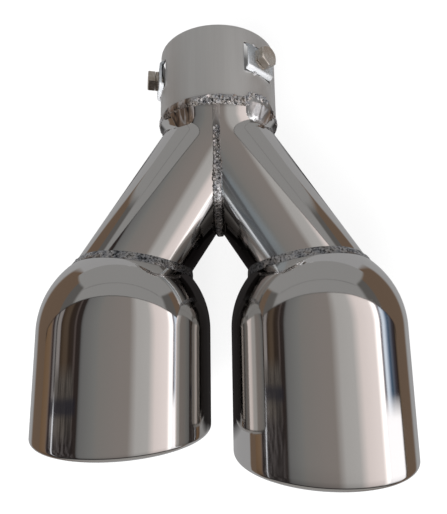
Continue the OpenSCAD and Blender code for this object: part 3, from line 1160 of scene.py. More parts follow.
def make_tip(s, name, side, columns=288):
    """An outlet tip: a domed shoulder with the tube's hole, a straight barrel and a rolled lip."""
    a = np.linspace(0, 2 * math.pi, columns, endpoint=False)
    centre = np.array([side * s.tip_x, 0, shoulder_z(s)])
    out = np.stack([np.cos(a), np.sin(a), 0 * a], -1)

    def dome(t):
        return centre + s.tip_r * (np.sin(t)[..., None] * out - np.cos(t)[..., None] * ALONG)

    low, high = np.zeros(columns), np.full(columns, math.radians(57))
    for _ in range(30):
        middle = (low + high) / 2
        inside = tube_field(s, dome(middle), side) < 0.00005
        low, high = np.where(inside, middle, low), np.where(inside, high, middle)
    shoulder = dome(high + (math.pi / 2 - high) * np.linspace(0, 1, 56)[:, None])
    end_y = -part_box(name + "_outlet_tip")[0][1]
    slope = math.tan(s.end_slant)
    # The frame's lowest point is the lip's crest at the top of the slanted end
    crest = (s.tip_r - s.lip_r) * slope + s.lip_r / math.cos(s.end_slant) - s.lip_r
    end_z = end_y - crest - centre[2]
    turn = np.radians(np.linspace(0, 90, 10))
    rho = np.concatenate([s.tip_r - s.lip_r + s.lip_r * np.cos(turn), [s.tip_r - s.lip_depth]])
    rise = np.concatenate([s.lip_r * (np.sin(turn) - 1), [0]])
    lip_y = rho[:, None] * np.sin(a)
    lip = centre + rho[:, None, None] * out + (end_z + lip_y * slope + rise[:, None])[..., None] * ALONG
    barrel_w = np.linspace(0, 1, 34)[1:-1, None, None]
    barrel = shoulder[-1] + (lip[0] - shoulder[-1]) * barrel_w
    points = np.concatenate([shoulder, barrel, lip])
    faces = grid_faces(len(points), columns, True)
    piece = new_piece(name + "_tip", points, faces, material_of("Polished Steel"), core=centre)
    thicken(piece, s.tube_wall)
    mark_heat(s, piece)
    dress(piece, name + "_outlet_tip")


# Weld beads


def bead_skin(name, rings, closed, material):
    """A closed bead from cross-sections, capped where the bead has ends."""
    rings = np.asarray(rings)
    if closed:
        rings = np.concatenate([rings, rings[:1]])
    count, n = rings.shape[:2]
    faces = list(grid_faces(count, n, True))
    if closed:
        faces = [[v % ((count - 1) * n) for v in f] for f in faces]
        rings = rings[:-1]
    else:
        faces += [list(range(n - 1, -1, -1)), list(range((count - 1) * n, count * n))]
    return new_piece(name, rings, faces, material, math.radians(60))


def ripples(
    s, name, points, up, closed, radius, height, lift, seed, wander=0.0003, tilt=0.4, pitch=1.5, rim=0.8
):
    """Ripples along a weld path, made by the tree from a line of edges; pitch scales their usual spacing."""
    mesh = bpy.data.meshes.new(name)
    raised = laid(points + up * lift)
    count = len(raised)
    edges = [(i, (i + 1) % count) for i in range(count if closed else count - 1)]
    mesh.from_pydata(raised.tolist(), edges, [])
    stand = mesh.attributes.new("up", "FLOAT_VECTOR", "POINT")
    stand.data.foreach_set("vector", laid(up).astype(np.float32).ravel())
    piece = bpy.data.objects.new(name, mesh)
    bpy.context.scene.collection.objects.link(piece)
    return run_tree(
        piece,
        ripple_tree(),
        {
            "Pitch": s.bead_pitch * pitch,
            "Ripple Radius": radius,
            "Ripple Height": height,
            "Tilt": tilt,
            "Rim": rim,
            "Wander": wander,
            "Seed": s.seed + seed,
            "Material": material_of("Weld Metal"),
        },
    )


def lobe(angle, start, end):
    """How far a melted lobe of the collar bead has run, 0 to 1, between two angles in degrees."""
    off = (np.degrees(angle) - (start + end) / 2) / ((end - start) / 2)
    return np.clip(1 - off**4, 0, 1) ** 0.6


def skin_point(s, degrees, z):
    """Points on the skin at angles round the sleeve and distances from its mouth, with their directions."""
    a = np.radians(degrees)
    out = np.stack([np.sin(a), np.cos(a), 0 * a], axis=-1)
    origin = z[..., None] * ALONG
    reach = np.where(z < s.sleeve_len, s.sleeve_r, skin_reach(s, origin, out, BOTH))
    return origin + reach[..., None] * out, out


def collar_ripples(s, name, marks, radius, height, seed, **options):
    """Ripples along part of the collar, through (angle in degrees, distance below the joint) marks."""
    degrees = np.linspace(marks[0][0], marks[-1][0], 240)
    points, out = skin_point(s, degrees, s.sleeve_len + through(degrees, marks))
    return ripples(s, name, points, out, False, radius, height, 0.0002, seed, **options)


def make_collar_weld(s):
    """The bead round the collar joint, with its two melted lobes and the mound above the right one."""
    degrees = np.linspace(-180, 180, 480, endpoint=False)
    angle = np.radians(degrees)
    left, right, mound = lobe(angle, -50, -21), lobe(angle, 29, 65), lobe(angle, 31, 60)
    front = np.clip((66 - abs(degrees)) / 14, 0, 1)
    low = s.sleeve_len - 0.0012 - 0.0009 * front - 0.0028 * mound
    high = s.sleeve_len + 0.0012 + 0.0009 * front + 0.0078 * left + 0.0056 * right
    across = np.linspace(0, 1, 19)
    z = low[:, None] + across * (high - low)[:, None]
    skin, ray = skin_point(s, np.broadcast_to(degrees[:, None], z.shape), z)
    swell = (0.0002 + 0.0005 * front + 0.0007 * left + 0.0015 * np.maximum(right, mound))[:, None]
    dents = 1 + 0.08 * np.sin(angle * 34)[:, None] * np.sin(across * 9 + 2 * np.sin(angle * 21)[:, None])
    rise = 0.00003 + swell * dents * np.sin(math.pi * across) ** 0.45
    crown = skin + rise[..., None] * ray
    back = (skin - 0.0002 * ray)[:, ::-1][:, 1:-1]
    rings = np.concatenate([crown, back], axis=1)
    base = bead_skin("collar_bead", rings, True, material_of("Melted Weld"))
    right_run = [(-5, 0.0008), (24, 0.0008), (32, -0.0004), (50, -0.0002), (63, 0.0012)]
    left_run = [(-56, 0.0016), (-45, 0.0012), (-6, 0.0011)]
    parts = [
        base,
        collar_ripples(s, "right_run", right_run, 0.0027, 0.0008, 1, tilt=0.45, pitch=1.5),
        collar_ripples(
            s, "mound", [(33, -0.0022), (52, -0.0026)], 0.0029, 0.0013, 2, tilt=0.5, pitch=1.7, wander=0.0009
        ),
        collar_ripples(s, "left_run", left_run, 0.0019, 0.0008, 3, tilt=0.35, pitch=1.2, wander=0.0008),
        collar_ripples(s, "back_run", [(66, 0.0), (294, 0.0)], 0.0013, 0.0003, 4, tilt=0.25, pitch=1.1),
    ]
    piece = join(parts, "collar_bead")
    co = coordinates(piece)
    at = np.degrees(np.arctan2(co[:, 0], co[:, 2]))
    # Marks by the angle round the collar, in degrees from the top towards +X
    left_burn = [(-180, 0.2), (-66, 0.1), (-56, 1), (-25, 1), (-21, 0)]
    right_burn = [(50, 0), (55, 1), (64, 0.9), (70, 0.1), (180, 0.2)]
    store(piece, "burn", through(at, left_burn + right_burn))
    sooty = [(-180, 0.2), (-66, 0.1), (-56, 0.4), (-48, 0.2), (-20, 0.15), (-4, 0.15), (2, 0), (180, 0.2)]
    store(piece, "soot", through(at, sooty))
    # A painted star highlight on the right lobe
    star = np.hypot(at - 39, (-co[:, 1] - s.sleeve_len - 0.0065) * 3600)
    store(piece, "painted_glint", np.clip(1.3 - star / 5, 0, 1))
    dress(piece, "collar_weld")


def make_seam_weld(s):
    """The bead along the seam and round the fork, dressed flat above its first ripple."""
    points, up = seam_path(s)
    half, dressed_end = 0.0019, 0.0545
    x = np.linspace(-half, half, 9)
    origin = np.array([0, 0, cross_z(s)])
    ray = unit(points - origin)
    start = origin + x[None, :, None] * np.array([1.0, 0, 0])
    start = np.broadcast_to(start, (len(points), len(x), 3))
    rays = np.broadcast_to(ray[:, None, :], start.shape)
    skin = skin_reach(s, start, rays, BOTH)
    dressed = (points[:, 1] > 0) & (points[:, 2] < dressed_end)
    rise = np.where(dressed, 0.0003, 0.0007)[:, None] * (1 - (x / half) ** 2)
    level = np.maximum(skin, skin[:, :1]) + 0.00003 + rise
    crown = start + level[..., None] * rays
    back = (start + (skin - 0.0002)[..., None] * rays)[:, ::-1][:, 1:-1]
    base = bead_skin("seam_bead", np.concatenate([crown, back], axis=1), False, material_of("Melted Weld"))
    run = crown[~dressed, 4], up[~dressed]
    bumps = ripples(
        s, "seam_ripples", *run, False, 0.00195, 0.0009, -0.0002, 20, 0.0004, tilt=0.22, pitch=1.8, rim=1.0
    )
    piece = join([base, bumps], "seam_bead")
    co = coordinates(piece)
    # Marks by the distance from the mouth, in millimetres
    along, above = -co[:, 1] * 1000, co[:, 2] > 0
    upper_soot = [(53, 0.15), (57, 0.45), (66, 0.4), (76, 0.25), (82, 0.15), (86, 0.1)]
    fork_soot = [(91, 0.4), (95, 0.62), (99, 0.75)]
    store(piece, "soot", np.where(above, through(along, upper_soot + fork_soot), 0.4))
    # Painted highlights on the bead between 80 and 92 mm from the mouth
    store(piece, "painted_glint", np.where(above, through(along, [(80, 0), (84, 0.3), (89, 0.5), (92, 0)]), 0))
    store(piece, "burn", through(along, [(45, 0.35), (53, 0.15), (88, 0.1), (94, 0.6)]))
    dress(piece, "seam_weld")


def make_shoulder_weld(s, name, side):
    """The bead on the saddle curve where a branch tube meets its tip's shoulder."""
    points, out = shoulder_path(s, side)
    a = side * np.linspace(0, 2 * math.pi, len(points), endpoint=False)
    centre = np.array([side * s.tip_x, 0, shoulder_z(s)])
    n, k = tube_out(s, side, a), unit(points - centre)
    reach = 0.0027
    run = unit(n - (n * k).sum(-1, keepdims=True) * k)
    tube_toe = points - reach * tube_axis(s, side) + 0.00005 * n
    turn = reach / s.tip_r
    tip_toe = centre + (s.tip_r + 0.00005) * (math.cos(turn) * k + math.sin(turn) * run)
    w = np.linspace(0, 1, 8)[None, :, None]
    crown = tube_toe[:, None] * (1 - w) + tip_toe[:, None] * w
    crown = crown + 0.00015 * np.sin(math.pi * w) * out[:, None]
    rings = np.concatenate([crown, (points - 0.0001 * out)[:, None]], axis=1)
    base = bead_skin(name + "_shoulder_bead", rings, True, material_of("Weld Metal"))
    bumps = ripples(
        s, name + "_ripples", points, out, True, 0.0021, 0.0004, -0.0002, 40 + side, 0.0008, pitch=1.2
    )
    piece = join([base, bumps], name + "_shoulder_bead")
    store(piece, "soot", np.full(len(piece.data.vertices), 0.55))
    dress(piece, name + "_shoulder_weld")


# Clamp hardware

# The play of a seat in its window
SEAT_GAP = 0.0006


def at_clamp(s, number, points):
    """Turn points drawn at the top of the sleeve to a clamp's place round it."""
    a = clamp_angle(s, number)
    p = np.asarray(points, float)
    x = p[..., 0] * math.cos(a) + p[..., 1] * math.sin(a)
    y = -p[..., 0] * math.sin(a) + p[..., 1] * math.cos(a)
    return np.stack([x, y, p[..., 2]], -1)


def radial_span(s, node, number):
    """Lowest and highest distance of a CAD node from the sleeve's axis, along its clamp's direction."""
    a = clamp_angle(s, number)
    co = np.array([v.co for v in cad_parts[node].data.vertices])
    height = co @ np.array([math.sin(a), 0, math.cos(a)])
    return float(height.min()), float(height.max())


def hex_grid(s, low, high, chamfer_low, chamfer_high, hole=0.0):
    """Rings of a chamfered hexagonal prism along y, with a corner along the sleeve and maybe a hole."""
    a = np.linspace(0, 2 * math.pi, 144, endpoint=False)
    flat = s.hex_af / 2
    hexagon = flat / np.cos(((a + math.pi / 6) % (math.pi / 3)) - math.pi / 6)
    drop = 0.32 * (flat / math.cos(math.pi / 6) - flat) * 2
    # A chamfer starts a little inside the flats, and its far round is past the corners
    inside, widening, past = flat * 0.96, flat * 0.2, flat * 1.2
    rings = []
    if hole:
        rings.append((low + 0.0003, hole))
        rings.append((low, hole + 0.0003))
    else:
        rings.append((low, 1e-6))
    steps = np.linspace(0, 1, 7)
    if chamfer_low:
        rings += [(low + t * drop, inside + t * widening) for t in steps]
    else:
        rings.append((low, past))
    if chamfer_high:
        rings += [(high - t * drop, inside + t * widening) for t in steps[::-1]]
    else:
        rings.append((high, past))
    if hole:
        rings.append((high, hole + 0.0003))
        rings.append((high - 0.0003, hole))
    else:
        rings.append((high - 0.00015, flat * 0.55))
        rings.append((high - 0.0002, 1e-6))
    points = []
    for y, r in rings:
        radius = np.minimum(hexagon, r)
        points.append(np.stack([radius * np.cos(a), np.full_like(a, y), -radius * np.sin(a)], -1))
    if hole:
        points.append(points[0])
    return np.array(points)


def make_hex(s, name, number, points, material):
    """A nut or head from its rings, in its clamp's place."""
    placed = at_clamp(s, number, points + ALONG * s.clamp_down)
    faces = grid_faces(len(points), points.shape[1], True)
    return new_piece(name, placed, faces, material, math.radians(22))


def make_fasteners(s, number):
    """A clamp's nut and bolt."""
    steel = material_of("Fastener Steel")
    low, high = radial_span(s, f"clamp_nut_{number}", number)
    nut = make_hex(s, f"nut_{number}", number, hex_grid(s, low, high, True, True, 0.00305), steel)
    dress(nut, f"clamp_nut_{number}")
    end, top = radial_span(s, f"clamp_bolt_{number}", number)
    head = make_hex(s, f"bolt_{number}", number, hex_grid(s, top - s.head_h, top, False, True), steel)
    height = coordinates(head) @ laid(at_clamp(s, number, UP))
    # The head's top face, for its painted reflection
    store(head, "crown", height > top - 0.0003)
    shank = bpy.data.objects.new(f"shank_{number}", bpy.data.meshes.new(f"shank_{number}"))
    bpy.context.scene.collection.objects.link(shank)
    run_tree(
        shank,
        thread_tree(),
        {
            "Radius": 0.00298,
            "Depth": 0.00045,
            "Pitch": s.thread_pitch,
            "Length": top - s.head_h - end + 0.0005,
            "Material": steel,
        },
    )
    co = np.array([v.co for v in shank.data.vertices])
    upright = np.stack([co[:, 0], end + co[:, 2], s.clamp_down - co[:, 1]], -1)
    placed = laid(at_clamp(s, number, upright))
    shank.data.vertices.foreach_set("co", placed.astype(np.float32).ravel())
    shank.data.update()
    dress(join([head, shank], f"bolt_{number}"), f"clamp_bolt_{number}")


def seat_outline(s, low, high, thickness=0.0012):
    """Side outline of a seat: a flat strip whose two ends are bent down into the window."""
    leg = math.radians(65)
    outer_r, inner_r = thickness + 0.0006, 0.0006
    bend_low = high - outer_r + outer_r * math.cos(leg)
    half = s.window_len / 2 - SEAT_GAP - outer_r * math.sin(leg) - (bend_low - low) / math.tan(leg)
    turn = np.linspace(math.pi / 2, math.pi / 2 - leg, 9)
    outer = np.stack([half + outer_r * np.cos(turn), high - outer_r + outer_r * np.sin(turn)], -1)
    inner = np.stack([half + inner_r * np.cos(turn), high - outer_r + inner_r * np.sin(turn)], -1)[::-1]
    down = np.array([math.cos(leg), -math.sin(leg)])
    outer_foot = outer[-1] + (outer[-1][1] - low) / math.sin(leg) * down
    inner_foot = inner[0] + (inner[0][1] - low) / math.sin(leg) * down
    side = np.concatenate([outer, [outer_foot, inner_foot], inner])
    return np.concatenate([side, (side * [-1, 1])[::-1]])


def make_seat(s, number):
    """The bent seat plate in a window, with its tack welds."""
    low, high = radial_span(s, f"clamp_seat_{number}", number)
    outline = seat_outline(s, low, high)
    half = s.window_w / 2 - SEAT_GAP
    x = np.array([half, half * 0.5, 0, -half * 0.5, -half])
    points = np.stack(
        [
            np.broadcast_to(x[:, None], (5, len(outline))),
            np.broadcast_to(outline[:, 1], (5, len(outline))),
            np.broadcast_to(outline[:, 0] + s.clamp_down, (5, len(outline))),
        ],
        -1,
    )
    n = len(outline)
    faces = list(grid_faces(5, n, True)) + [list(range(n - 1, -1, -1)), list(range(4 * n, 5 * n))]
    plate = new_piece(f"plate_{number}", at_clamp(s, number, points), faces, material_of("Plated Steel"))
    soften(plate, 0.00018)
    # The leg towards the tips, for its painted highlight
    store(plate, "leg", np.clip((-coordinates(plate)[:, 1] - s.clamp_down - 0.0046) / 0.0012, 0, 1))
    dress(plate, f"clamp_seat_{number}")


def make_tacks(s, number):
    """The two small tack welds at a window's edges."""
    across = -(s.window_w - 2 * SEAT_GAP) / 5
    parts = []
    for k, end in enumerate((-1, 1)):
        spot = np.array([across, math.sqrt(s.sleeve_r**2 - across**2), s.clamp_down + end * s.window_len / 2])
        u, v = np.meshgrid(np.linspace(0, 2 * math.pi, 28, endpoint=False), np.linspace(0, math.pi, 15))
        ripple = 1 + 0.06 * np.sin(5 * u + k) * np.sin(v) ** 2 + 0.05 * np.cos(3 * v + 2 * u)
        ball = np.stack([np.sin(v) * np.cos(u), np.cos(v), np.sin(v) * np.sin(u)], -1)
        parts.append(spot + ball * (0.00105 * ripple)[..., None] * [1.1, 0.75, 0.9])
    rows, columns = parts[0].shape[:2]
    faces = grid_faces(rows, columns, True)
    faces = np.concatenate([faces, faces + rows * columns])
    points = np.concatenate([p.reshape(-1, 3) for p in parts])
    piece = new_piece(f"tacks_{number}", at_clamp(s, number, points), faces, material_of("Melted Weld"))
    # The tacks are painted nearly white, a painted highlight
    store(piece, "painted_glint", np.full(len(piece.data.vertices), 0.8))
    dress(piece, f"seat_tacks_{number}")


# Studio


def emission(name):
    """A material that only glows: (material, tree, object coordinates, emission node)."""
    material, tree, place = empty_material(name)
    glow = add(tree, "ShaderNodeEmission", {"Strength": 1.0})
    show(tree, glow)
    return material, tree, place, glow


def seen_ray(tree):
    """1 on rays from the camera and on those that metal or glass sends on."""
    rays = add(tree, "ShaderNodeLightPath").outputs
    sent_on = math_node(tree, "MAXIMUM", rays["Is Glossy Ray"], rays["Is Transmission Ray"])
    return math_node(tree, "MAXIMUM", rays["Is Camera Ray"], sent_on)


def stage_mesh(name, points, faces, material):
    mesh = bpy.data.meshes.new(name)
    mesh.from_pydata([tuple(map(float, p)) for p in points], [], [tuple(map(int, f)) for f in faces])
    mesh.materials.append(material)
    mesh.shade_smooth()
    stage = bpy.data.objects.new(name, mesh)
    bpy.context.scene.collection.objects.link(stage)
    return stage


def level_sheet(name, half, z, material):
    """A level square sheet."""
    corners = [(-half, -half, z), (half, -half, z), (half, half, z), (-half, half, z)]
    return stage_mesh(name, corners, [(0, 1, 2, 3)], material)


def reflection_only(stage):
    """Let a card show in the metal and nowhere else."""
    stage.visible_camera = stage.visible_diffuse = stage.visible_shadow = False
    stage.visible_transmission = stage.visible_volume_scatter = False


# Colours of the reflected room by the angle in degrees from straight up towards +X, first the side at -X
ROOM_BANDS = (
    [
        (-110, (0.16, 0.10, 0.058)),
        (-96, (0.16, 0.10, 0.058)),
        (-87, (0.19, 0.125, 0.078)),
        (-84.5, (0.17, 0.125, 0.10)),
        (-82.5, (0.045, 0.035, 0.035)),
        (-81, (0.04, 0.03, 0.03)),
        (-79.5, (0.20, 0.19, 0.19)),
        (-73, (0.27, 0.25, 0.24)),
        (-71.5, (0.26, 0.24, 0.24)),
        (-70, (0.045, 0.03, 0.022)),
        (-68, (0.06, 0.042, 0.028)),
        (-65, (0.085, 0.06, 0.042)),
        (-61.5, (0.085, 0.062, 0.045)),
        (-58.5, (0.035, 0.024, 0.018)),
        (-53.5, (0.035, 0.026, 0.022)),
        (-51.5, (0.10, 0.08, 0.075)),
        (-50, (0.03, 0.022, 0.02)),
        (-45.5, (0.03, 0.024, 0.022)),
        (-43.5, (0.13, 0.13, 0.13)),
        (-41, (0.16, 0.16, 0.16)),
        (-27, (0.20, 0.20, 0.195)),
        (-22, (0.22, 0.21, 0.20)),
        (0, (0.245, 0.222, 0.21)),
    ],
    [
        (0, (0.245, 0.222, 0.21)),
        (12, (0.25, 0.225, 0.21)),
        (21, (0.44, 0.43, 0.42)),
        (36, (0.47, 0.46, 0.45)),
        (45, (0.80, 0.72, 0.70)),
        (62, (0.92, 0.83, 0.81)),
        (67, (1.75, 1.68, 1.66)),
        (69.5, (1.6, 1.55, 1.56)),
        (71, (0.22, 0.20, 0.22)),
        (72.5, (0.22, 0.22, 0.25)),
        (74, (0.75, 0.82, 0.92)),
        (76, (0.75, 0.85, 0.98)),
        (80, (0.16, 0.21, 0.30)),
        (81.5, (0.05, 0.09, 0.14)),
        (84.5, (0.11, 0.13, 0.17)),
        (88, (0.05, 0.045, 0.055)),
        (92, (0.03, 0.022, 0.02)),
        (95.5, (0.15, 0.11, 0.075)),
        (110, (0.16, 0.105, 0.07)),
    ],
)
WALL_GREY = (0.29, 0.288, 0.285)
MAT_BROWN = (0.15, 0.105, 0.075)
DADO_GREY = (0.115, 0.11, 0.105)
FLOOR_GREY = (0.36, 0.36, 0.365)
SHADE = (0.022, 0.02, 0.02)


def step(tree, value, start, end):
    """0 before start and 1 past end, with a straight ramp between; start may be the larger one."""
    return add(tree, "ShaderNodeMapRange", {0: value, 1: start, 2: end, 3: 0.0, 4: 1.0}).outputs[0]


def times(tree, first, *rest):
    for value in rest:
        first = math_node(tree, "MULTIPLY", first, value)
    return first


def on_line(tree, value, centre, half, soft):
    """1 where a value is within half of a centre, fading out over soft."""
    off = math_node(tree, "ABSOLUTE", math_node(tree, "SUBTRACT", value, centre))
    return step(tree, off, half + soft, half)


def dark_side(tree, place, degrees, y, colour):
    """Low on the dark side: cool streaks, a bar, a dark mottled end and a thin bright line."""
    low = on_line(tree, degrees, -63, 11.5, 1.5)
    drawn = math_node(tree, "MULTIPLY", y, 30.0)
    spread = add(tree, "ShaderNodeCombineXYZ", {0: degrees, 1: drawn}).outputs[0]
    streak = ramp(tree, noise(tree, spread, 0.45, 3, roughness=0.7), [(0.4, 0.0), (0.62, 1.0)])
    cool = mix_colour(tree, streak, rgba((0.040, 0.036, 0.034)), rgba((0.125, 0.112, 0.100)))
    colour = mix_colour(tree, times(tree, low, step(tree, y, -0.180, -0.204), 0.85), colour, cool)
    line = times(tree, on_line(tree, degrees, -76.5, 0.4, 0.7), step(tree, y, -0.218, -0.208), 0.85)
    colour = mix_colour(tree, line, colour, rgba(SHADE))
    bar = times(tree, on_line(tree, y, -0.231, 0.006, 0.007), on_line(tree, degrees, -65, 15, 4), 0.8)
    colour = mix_colour(tree, bar, colour, rgba((0.02, 0.02, 0.028)))
    mottle = ramp(tree, noise(tree, place, 45, 3), [(0.45, 0.0), (0.62, 1.0)])
    dim = mix_colour(tree, mottle, rgba((0.020, 0.016, 0.016)), rgba((0.10, 0.09, 0.09)))
    end = times(tree, step(tree, y, -0.256, -0.272), on_line(tree, degrees, -66, 16, 3), 0.9)
    colour = mix_colour(tree, end, colour, dim)
    line = times(tree, on_line(tree, degrees, -76, 0.5, 0.8), step(tree, y, -0.215, -0.245), 0.85)
    return mix_colour(tree, line, colour, rgba((0.9, 0.92, 0.98)))


def camera_end(tree, degrees, y, colour):
    """Light from the window's sill on, then a dark room behind the camera and its paler far end."""
    sill = times(tree, step(tree, y, -0.222, -0.248), on_line(tree, degrees, 81, 10, 2))
    colour = mix_colour(tree, sill, colour, rgba((1.3, 1.28, 1.31)))
    colour = mix_colour(tree, step(tree, y, -0.31, -0.46), colour, rgba(SHADE))
    return mix_colour(tree, step(tree, y, -0.50, -0.62), colour, rgba((0.32, 0.31, 0.30)))


def end_wall(tree, x, y, z, colour):
    """Past a slanted plane the room is a plain grey wall, with two thin dark lines."""
    reach = math_node(tree, "SUBTRACT", y, math_node(tree, "MULTIPLY_ADD", z, 0.78, -0.12))
    low_brown = times(
        tree,
        step(tree, z, 0.22, 0.19),
        step(tree, math_node(tree, "MULTIPLY_ADD", z, 0.2, y), 0.290, 0.255),
        step(tree, math_node(tree, "ABSOLUTE", x), 0.36, 0.40),
    )
    dado = mix_colour(tree, step(tree, z, 0.085, 0.10), rgba(MAT_BROWN), rgba(DADO_GREY))
    wall = mix_colour(tree, low_brown, rgba(WALL_GREY), dado)
    colour = mix_colour(tree, step(tree, reach, -0.004, 0.004), colour, wall)
    colour = mix_colour(tree, times(tree, on_line(tree, reach, 0, 0.004, 0.004), 0.6), colour, rgba(SHADE))
    upper = math_node(tree, "SUBTRACT", y, math_node(tree, "MULTIPLY_ADD", z, 1.664, -0.15))
    high = step(tree, z, 0.2, 0.25)
    return mix_colour(
        tree, times(tree, on_line(tree, upper, 0, 0.008, 0.01), high, 0.3), colour, rgba(SHADE)
    )


def make_tent(studio):
    """A glowing half room for the metal to reflect, with bands, sills and a plain end wall."""
    material, tree, place, glow = emission("Light Tent")
    x, y, z = add(tree, "ShaderNodeSeparateXYZ", {0: place}).outputs
    degrees = math_node(tree, "MULTIPLY", math_node(tree, "ARCTAN2", x, z), 180 / math.pi)
    left, right = [
        ramp(
            tree,
            step(tree, degrees, bands[0][0], bands[-1][0]),
            [((a - bands[0][0]) / (bands[-1][0] - bands[0][0]), colour) for a, colour in bands],
        )
        for bands in ROOM_BANDS
    ]
    colour = mix_colour(tree, step(tree, degrees, -0.5, 0.5), left, right)
    colour = dark_side(tree, place, degrees, y, colour)
    colour = camera_end(tree, degrees, y, colour)
    colour = end_wall(tree, x, y, z, colour)
    tree.links.new(colour, glow.inputs["Color"])
    r = studio.tent_r
    columns, rows = 97, 41
    a = np.radians(np.linspace(-96, 96, columns))
    b = np.radians(np.linspace(-90, 90, rows))
    points = [
        (
            r * math.sin(u) * math.cos(v) ** 0.35,
            0.2 + 1.3 * math.sin(v),
            r * math.cos(u) * math.cos(v) ** 0.35,
        )
        for v in b
        for u in a
    ]
    tent = stage_mesh("light_tent", points, grid_faces(rows, columns, False), material)
    reflection_only(tent)


def make_ground(z):
    """The floor as the metal reflects it: pale, with brown mats at both sides and shade between the tips."""
    material, tree, place, glow = emission("Reflected Ground")
    x, y, _ = add(tree, "ShaderNodeSeparateXYZ", {0: place}).outputs
    aside = math_node(tree, "ABSOLUTE", x)
    mat = times(
        tree,
        step(tree, aside, 0.165, 0.19),
        step(tree, math_node(tree, "MULTIPLY_ADD", aside, -1.33, y), -0.23, -0.27),
    )
    colour = mix_colour(tree, mat, rgba(FLOOR_GREY), rgba(MAT_BROWN))
    shade = times(
        tree,
        step(tree, aside, 0.088, 0.072),
        step(tree, y, -0.218, -0.208),
        step(tree, y, 0.0, -0.04),
    )
    tree.links.new(mix_colour(tree, shade, colour, rgba(SHADE)), glow.inputs["Color"])
    reflection_only(level_sheet("reflected_ground", 3.0, z, material))


def make_floor(studio, z):
    """A pale floor that the camera sees as white, with a soft shade painted before the sleeve."""
    material, tree, place = empty_material("Pale Floor")
    tone = varied(tree, noise(tree, place, 3, 2), studio.floor_colour, 0.985, 1.0)
    x, y, _ = add(tree, "ShaderNodeSeparateXYZ", {0: place}).outputs
    (at_x, at_y), (half_x, half_y) = (0.006, 0.022), (0.032, 0.030)
    beside = math_node(tree, "MULTIPLY_ADD", x, 1 / half_x, -at_x / half_x)
    ahead = math_node(tree, "MULTIPLY_ADD", y, 1 / half_y, -at_y / half_y)
    ahead_squared = math_node(tree, "MULTIPLY", ahead, ahead)
    off = math_node(tree, "SQRT", math_node(tree, "MULTIPLY_ADD", beside, beside, ahead_squared))
    shade = math_node(tree, "MULTIPLY", step(tree, off, 1.0, 0.5), 0.88)
    lit = math_node(tree, "SUBTRACT", 1.0, shade)
    tone = mix_colour(tree, shade, tone, rgba((0.02, 0.02, 0.02)))
    matt = add(tree, "ShaderNodeBsdfDiffuse", {"Color": tone, "Roughness": 0.5})
    white = add(tree, "ShaderNodeEmission", {"Color": rgba((1, 1, 1)), "Strength": lit})
    share = math_node(tree, "MULTIPLY", seen_ray(tree), 0.87)
    show(tree, add(tree, "ShaderNodeMixShader", {0: share, 1: matt.outputs[0], 2: white.outputs[0]}))
    level_sheet("floor", 6.0, z, material)


def make_world():
    """A soft pale surround, white to the camera and to the metal."""
    world = bpy.data.worlds.new("Studio")
    bpy.context.scene.world = world
    world.use_nodes = True
    tree = world.node_tree
    tree.nodes.clear()
    strength = math_node(tree, "MULTIPLY_ADD", seen_ray(tree), 0.4, 0.6)
    glow = add(tree, "ShaderNodeBackground", {"Color": (1, 1, 1, 1), "Strength": strength})
    out = add(tree, "ShaderNodeOutputWorld")
    tree.links.new(glow.outputs[0], out.inputs["Surface"])


def make_lamp(name, place, aim, size, power):
    """A soft square lamp that lights the object without showing in it."""
    data = bpy.data.lights.new(name, "AREA")
    data.shape, data.size, data.energy = "SQUARE", size, power
    lamp = bpy.data.objects.new(name, data)
    bpy.context.scene.collection.objects.link(lamp)
    lamp.location = place
    lamp.rotation_euler = (aim - lamp.location).to_track_quat("-Z", "Y").to_euler()
    lamp.visible_glossy = False


def make_camera(studio):
    """The camera at the picture's viewing angle, for an upright picture."""
    data = bpy.data.cameras.new("Camera")
    data.sensor_width, data.lens = 36.0, studio.lens
    data.clip_start, data.clip_end = 0.01, 20
    camera = bpy.data.objects.new("Camera", data)
    bpy.context.scene.collection.objects.link(camera)
    # The camera's own right and up and its place, fitted to the picture's outline
    right = np.array([0.9994, -0.01351, -0.03183])
    up = np.array([0.01923, 0.98218, 0.18694])
    back = np.cross(right, up)
    matrix = np.eye(4)
    matrix[:3, 0], matrix[:3, 1], matrix[:3, 2] = unit(right), unit(up), unit(back)
    matrix[:3, 3] = (0.00880, -0.16050, 0.23673)
    camera.matrix_world = [list(row) for row in matrix.T]
    bpy.context.scene.camera = camera


# Operators and panel


class ExhaustPiece:
    """What the piece operators share"""

    bl_options = {"REGISTER", "UNDO"}


class EXHAUST_OT_sleeve(ExhaustPiece, bpy.types.Operator):
    """Make the inlet sleeve with its three windows"""

    bl_idname = "exhaust.sleeve"
    bl_label = "Inlet Sleeve"

    def execute(self, context):
        make_sleeve(sizes())
        return {"FINISHED"}


class EXHAUST_OT_branches(ExhaustPiece, bpy.types.Operator):
    """Make the two branch tubes with their collar and flare"""

    bl_idname = "exhaust.branches"
    bl_label = "Branch Tubes"

    def execute(self, context):
        for name, side in SIDES.items():
            make_branch(sizes(), name, side)
        return {"FINISHED"}


class EXHAUST_OT_tips(ExhaustPiece, bpy.types.Operator):
    """Make the two outlet tips with their rolled lips"""

    bl_idname = "exhaust.tips"
    bl_label = "Outlet Tips"

    def execute(self, context):
        for name, side in SIDES.items():
            make_tip(sizes(), name, side)
        return {"FINISHED"}


class EXHAUST_OT_welds(ExhaustPiece, bpy.types.Operator):
    """Make the rippled weld beads at the collar, the seam and the shoulders"""

    bl_idname = "exhaust.welds"
    bl_label = "Weld Beads"

    def execute(self, context):
        make_collar_weld(sizes())
        make_seam_weld(sizes())
        for name, side in SIDES.items():
            make_shoulder_weld(sizes(), name, side)
        return {"FINISHED"}


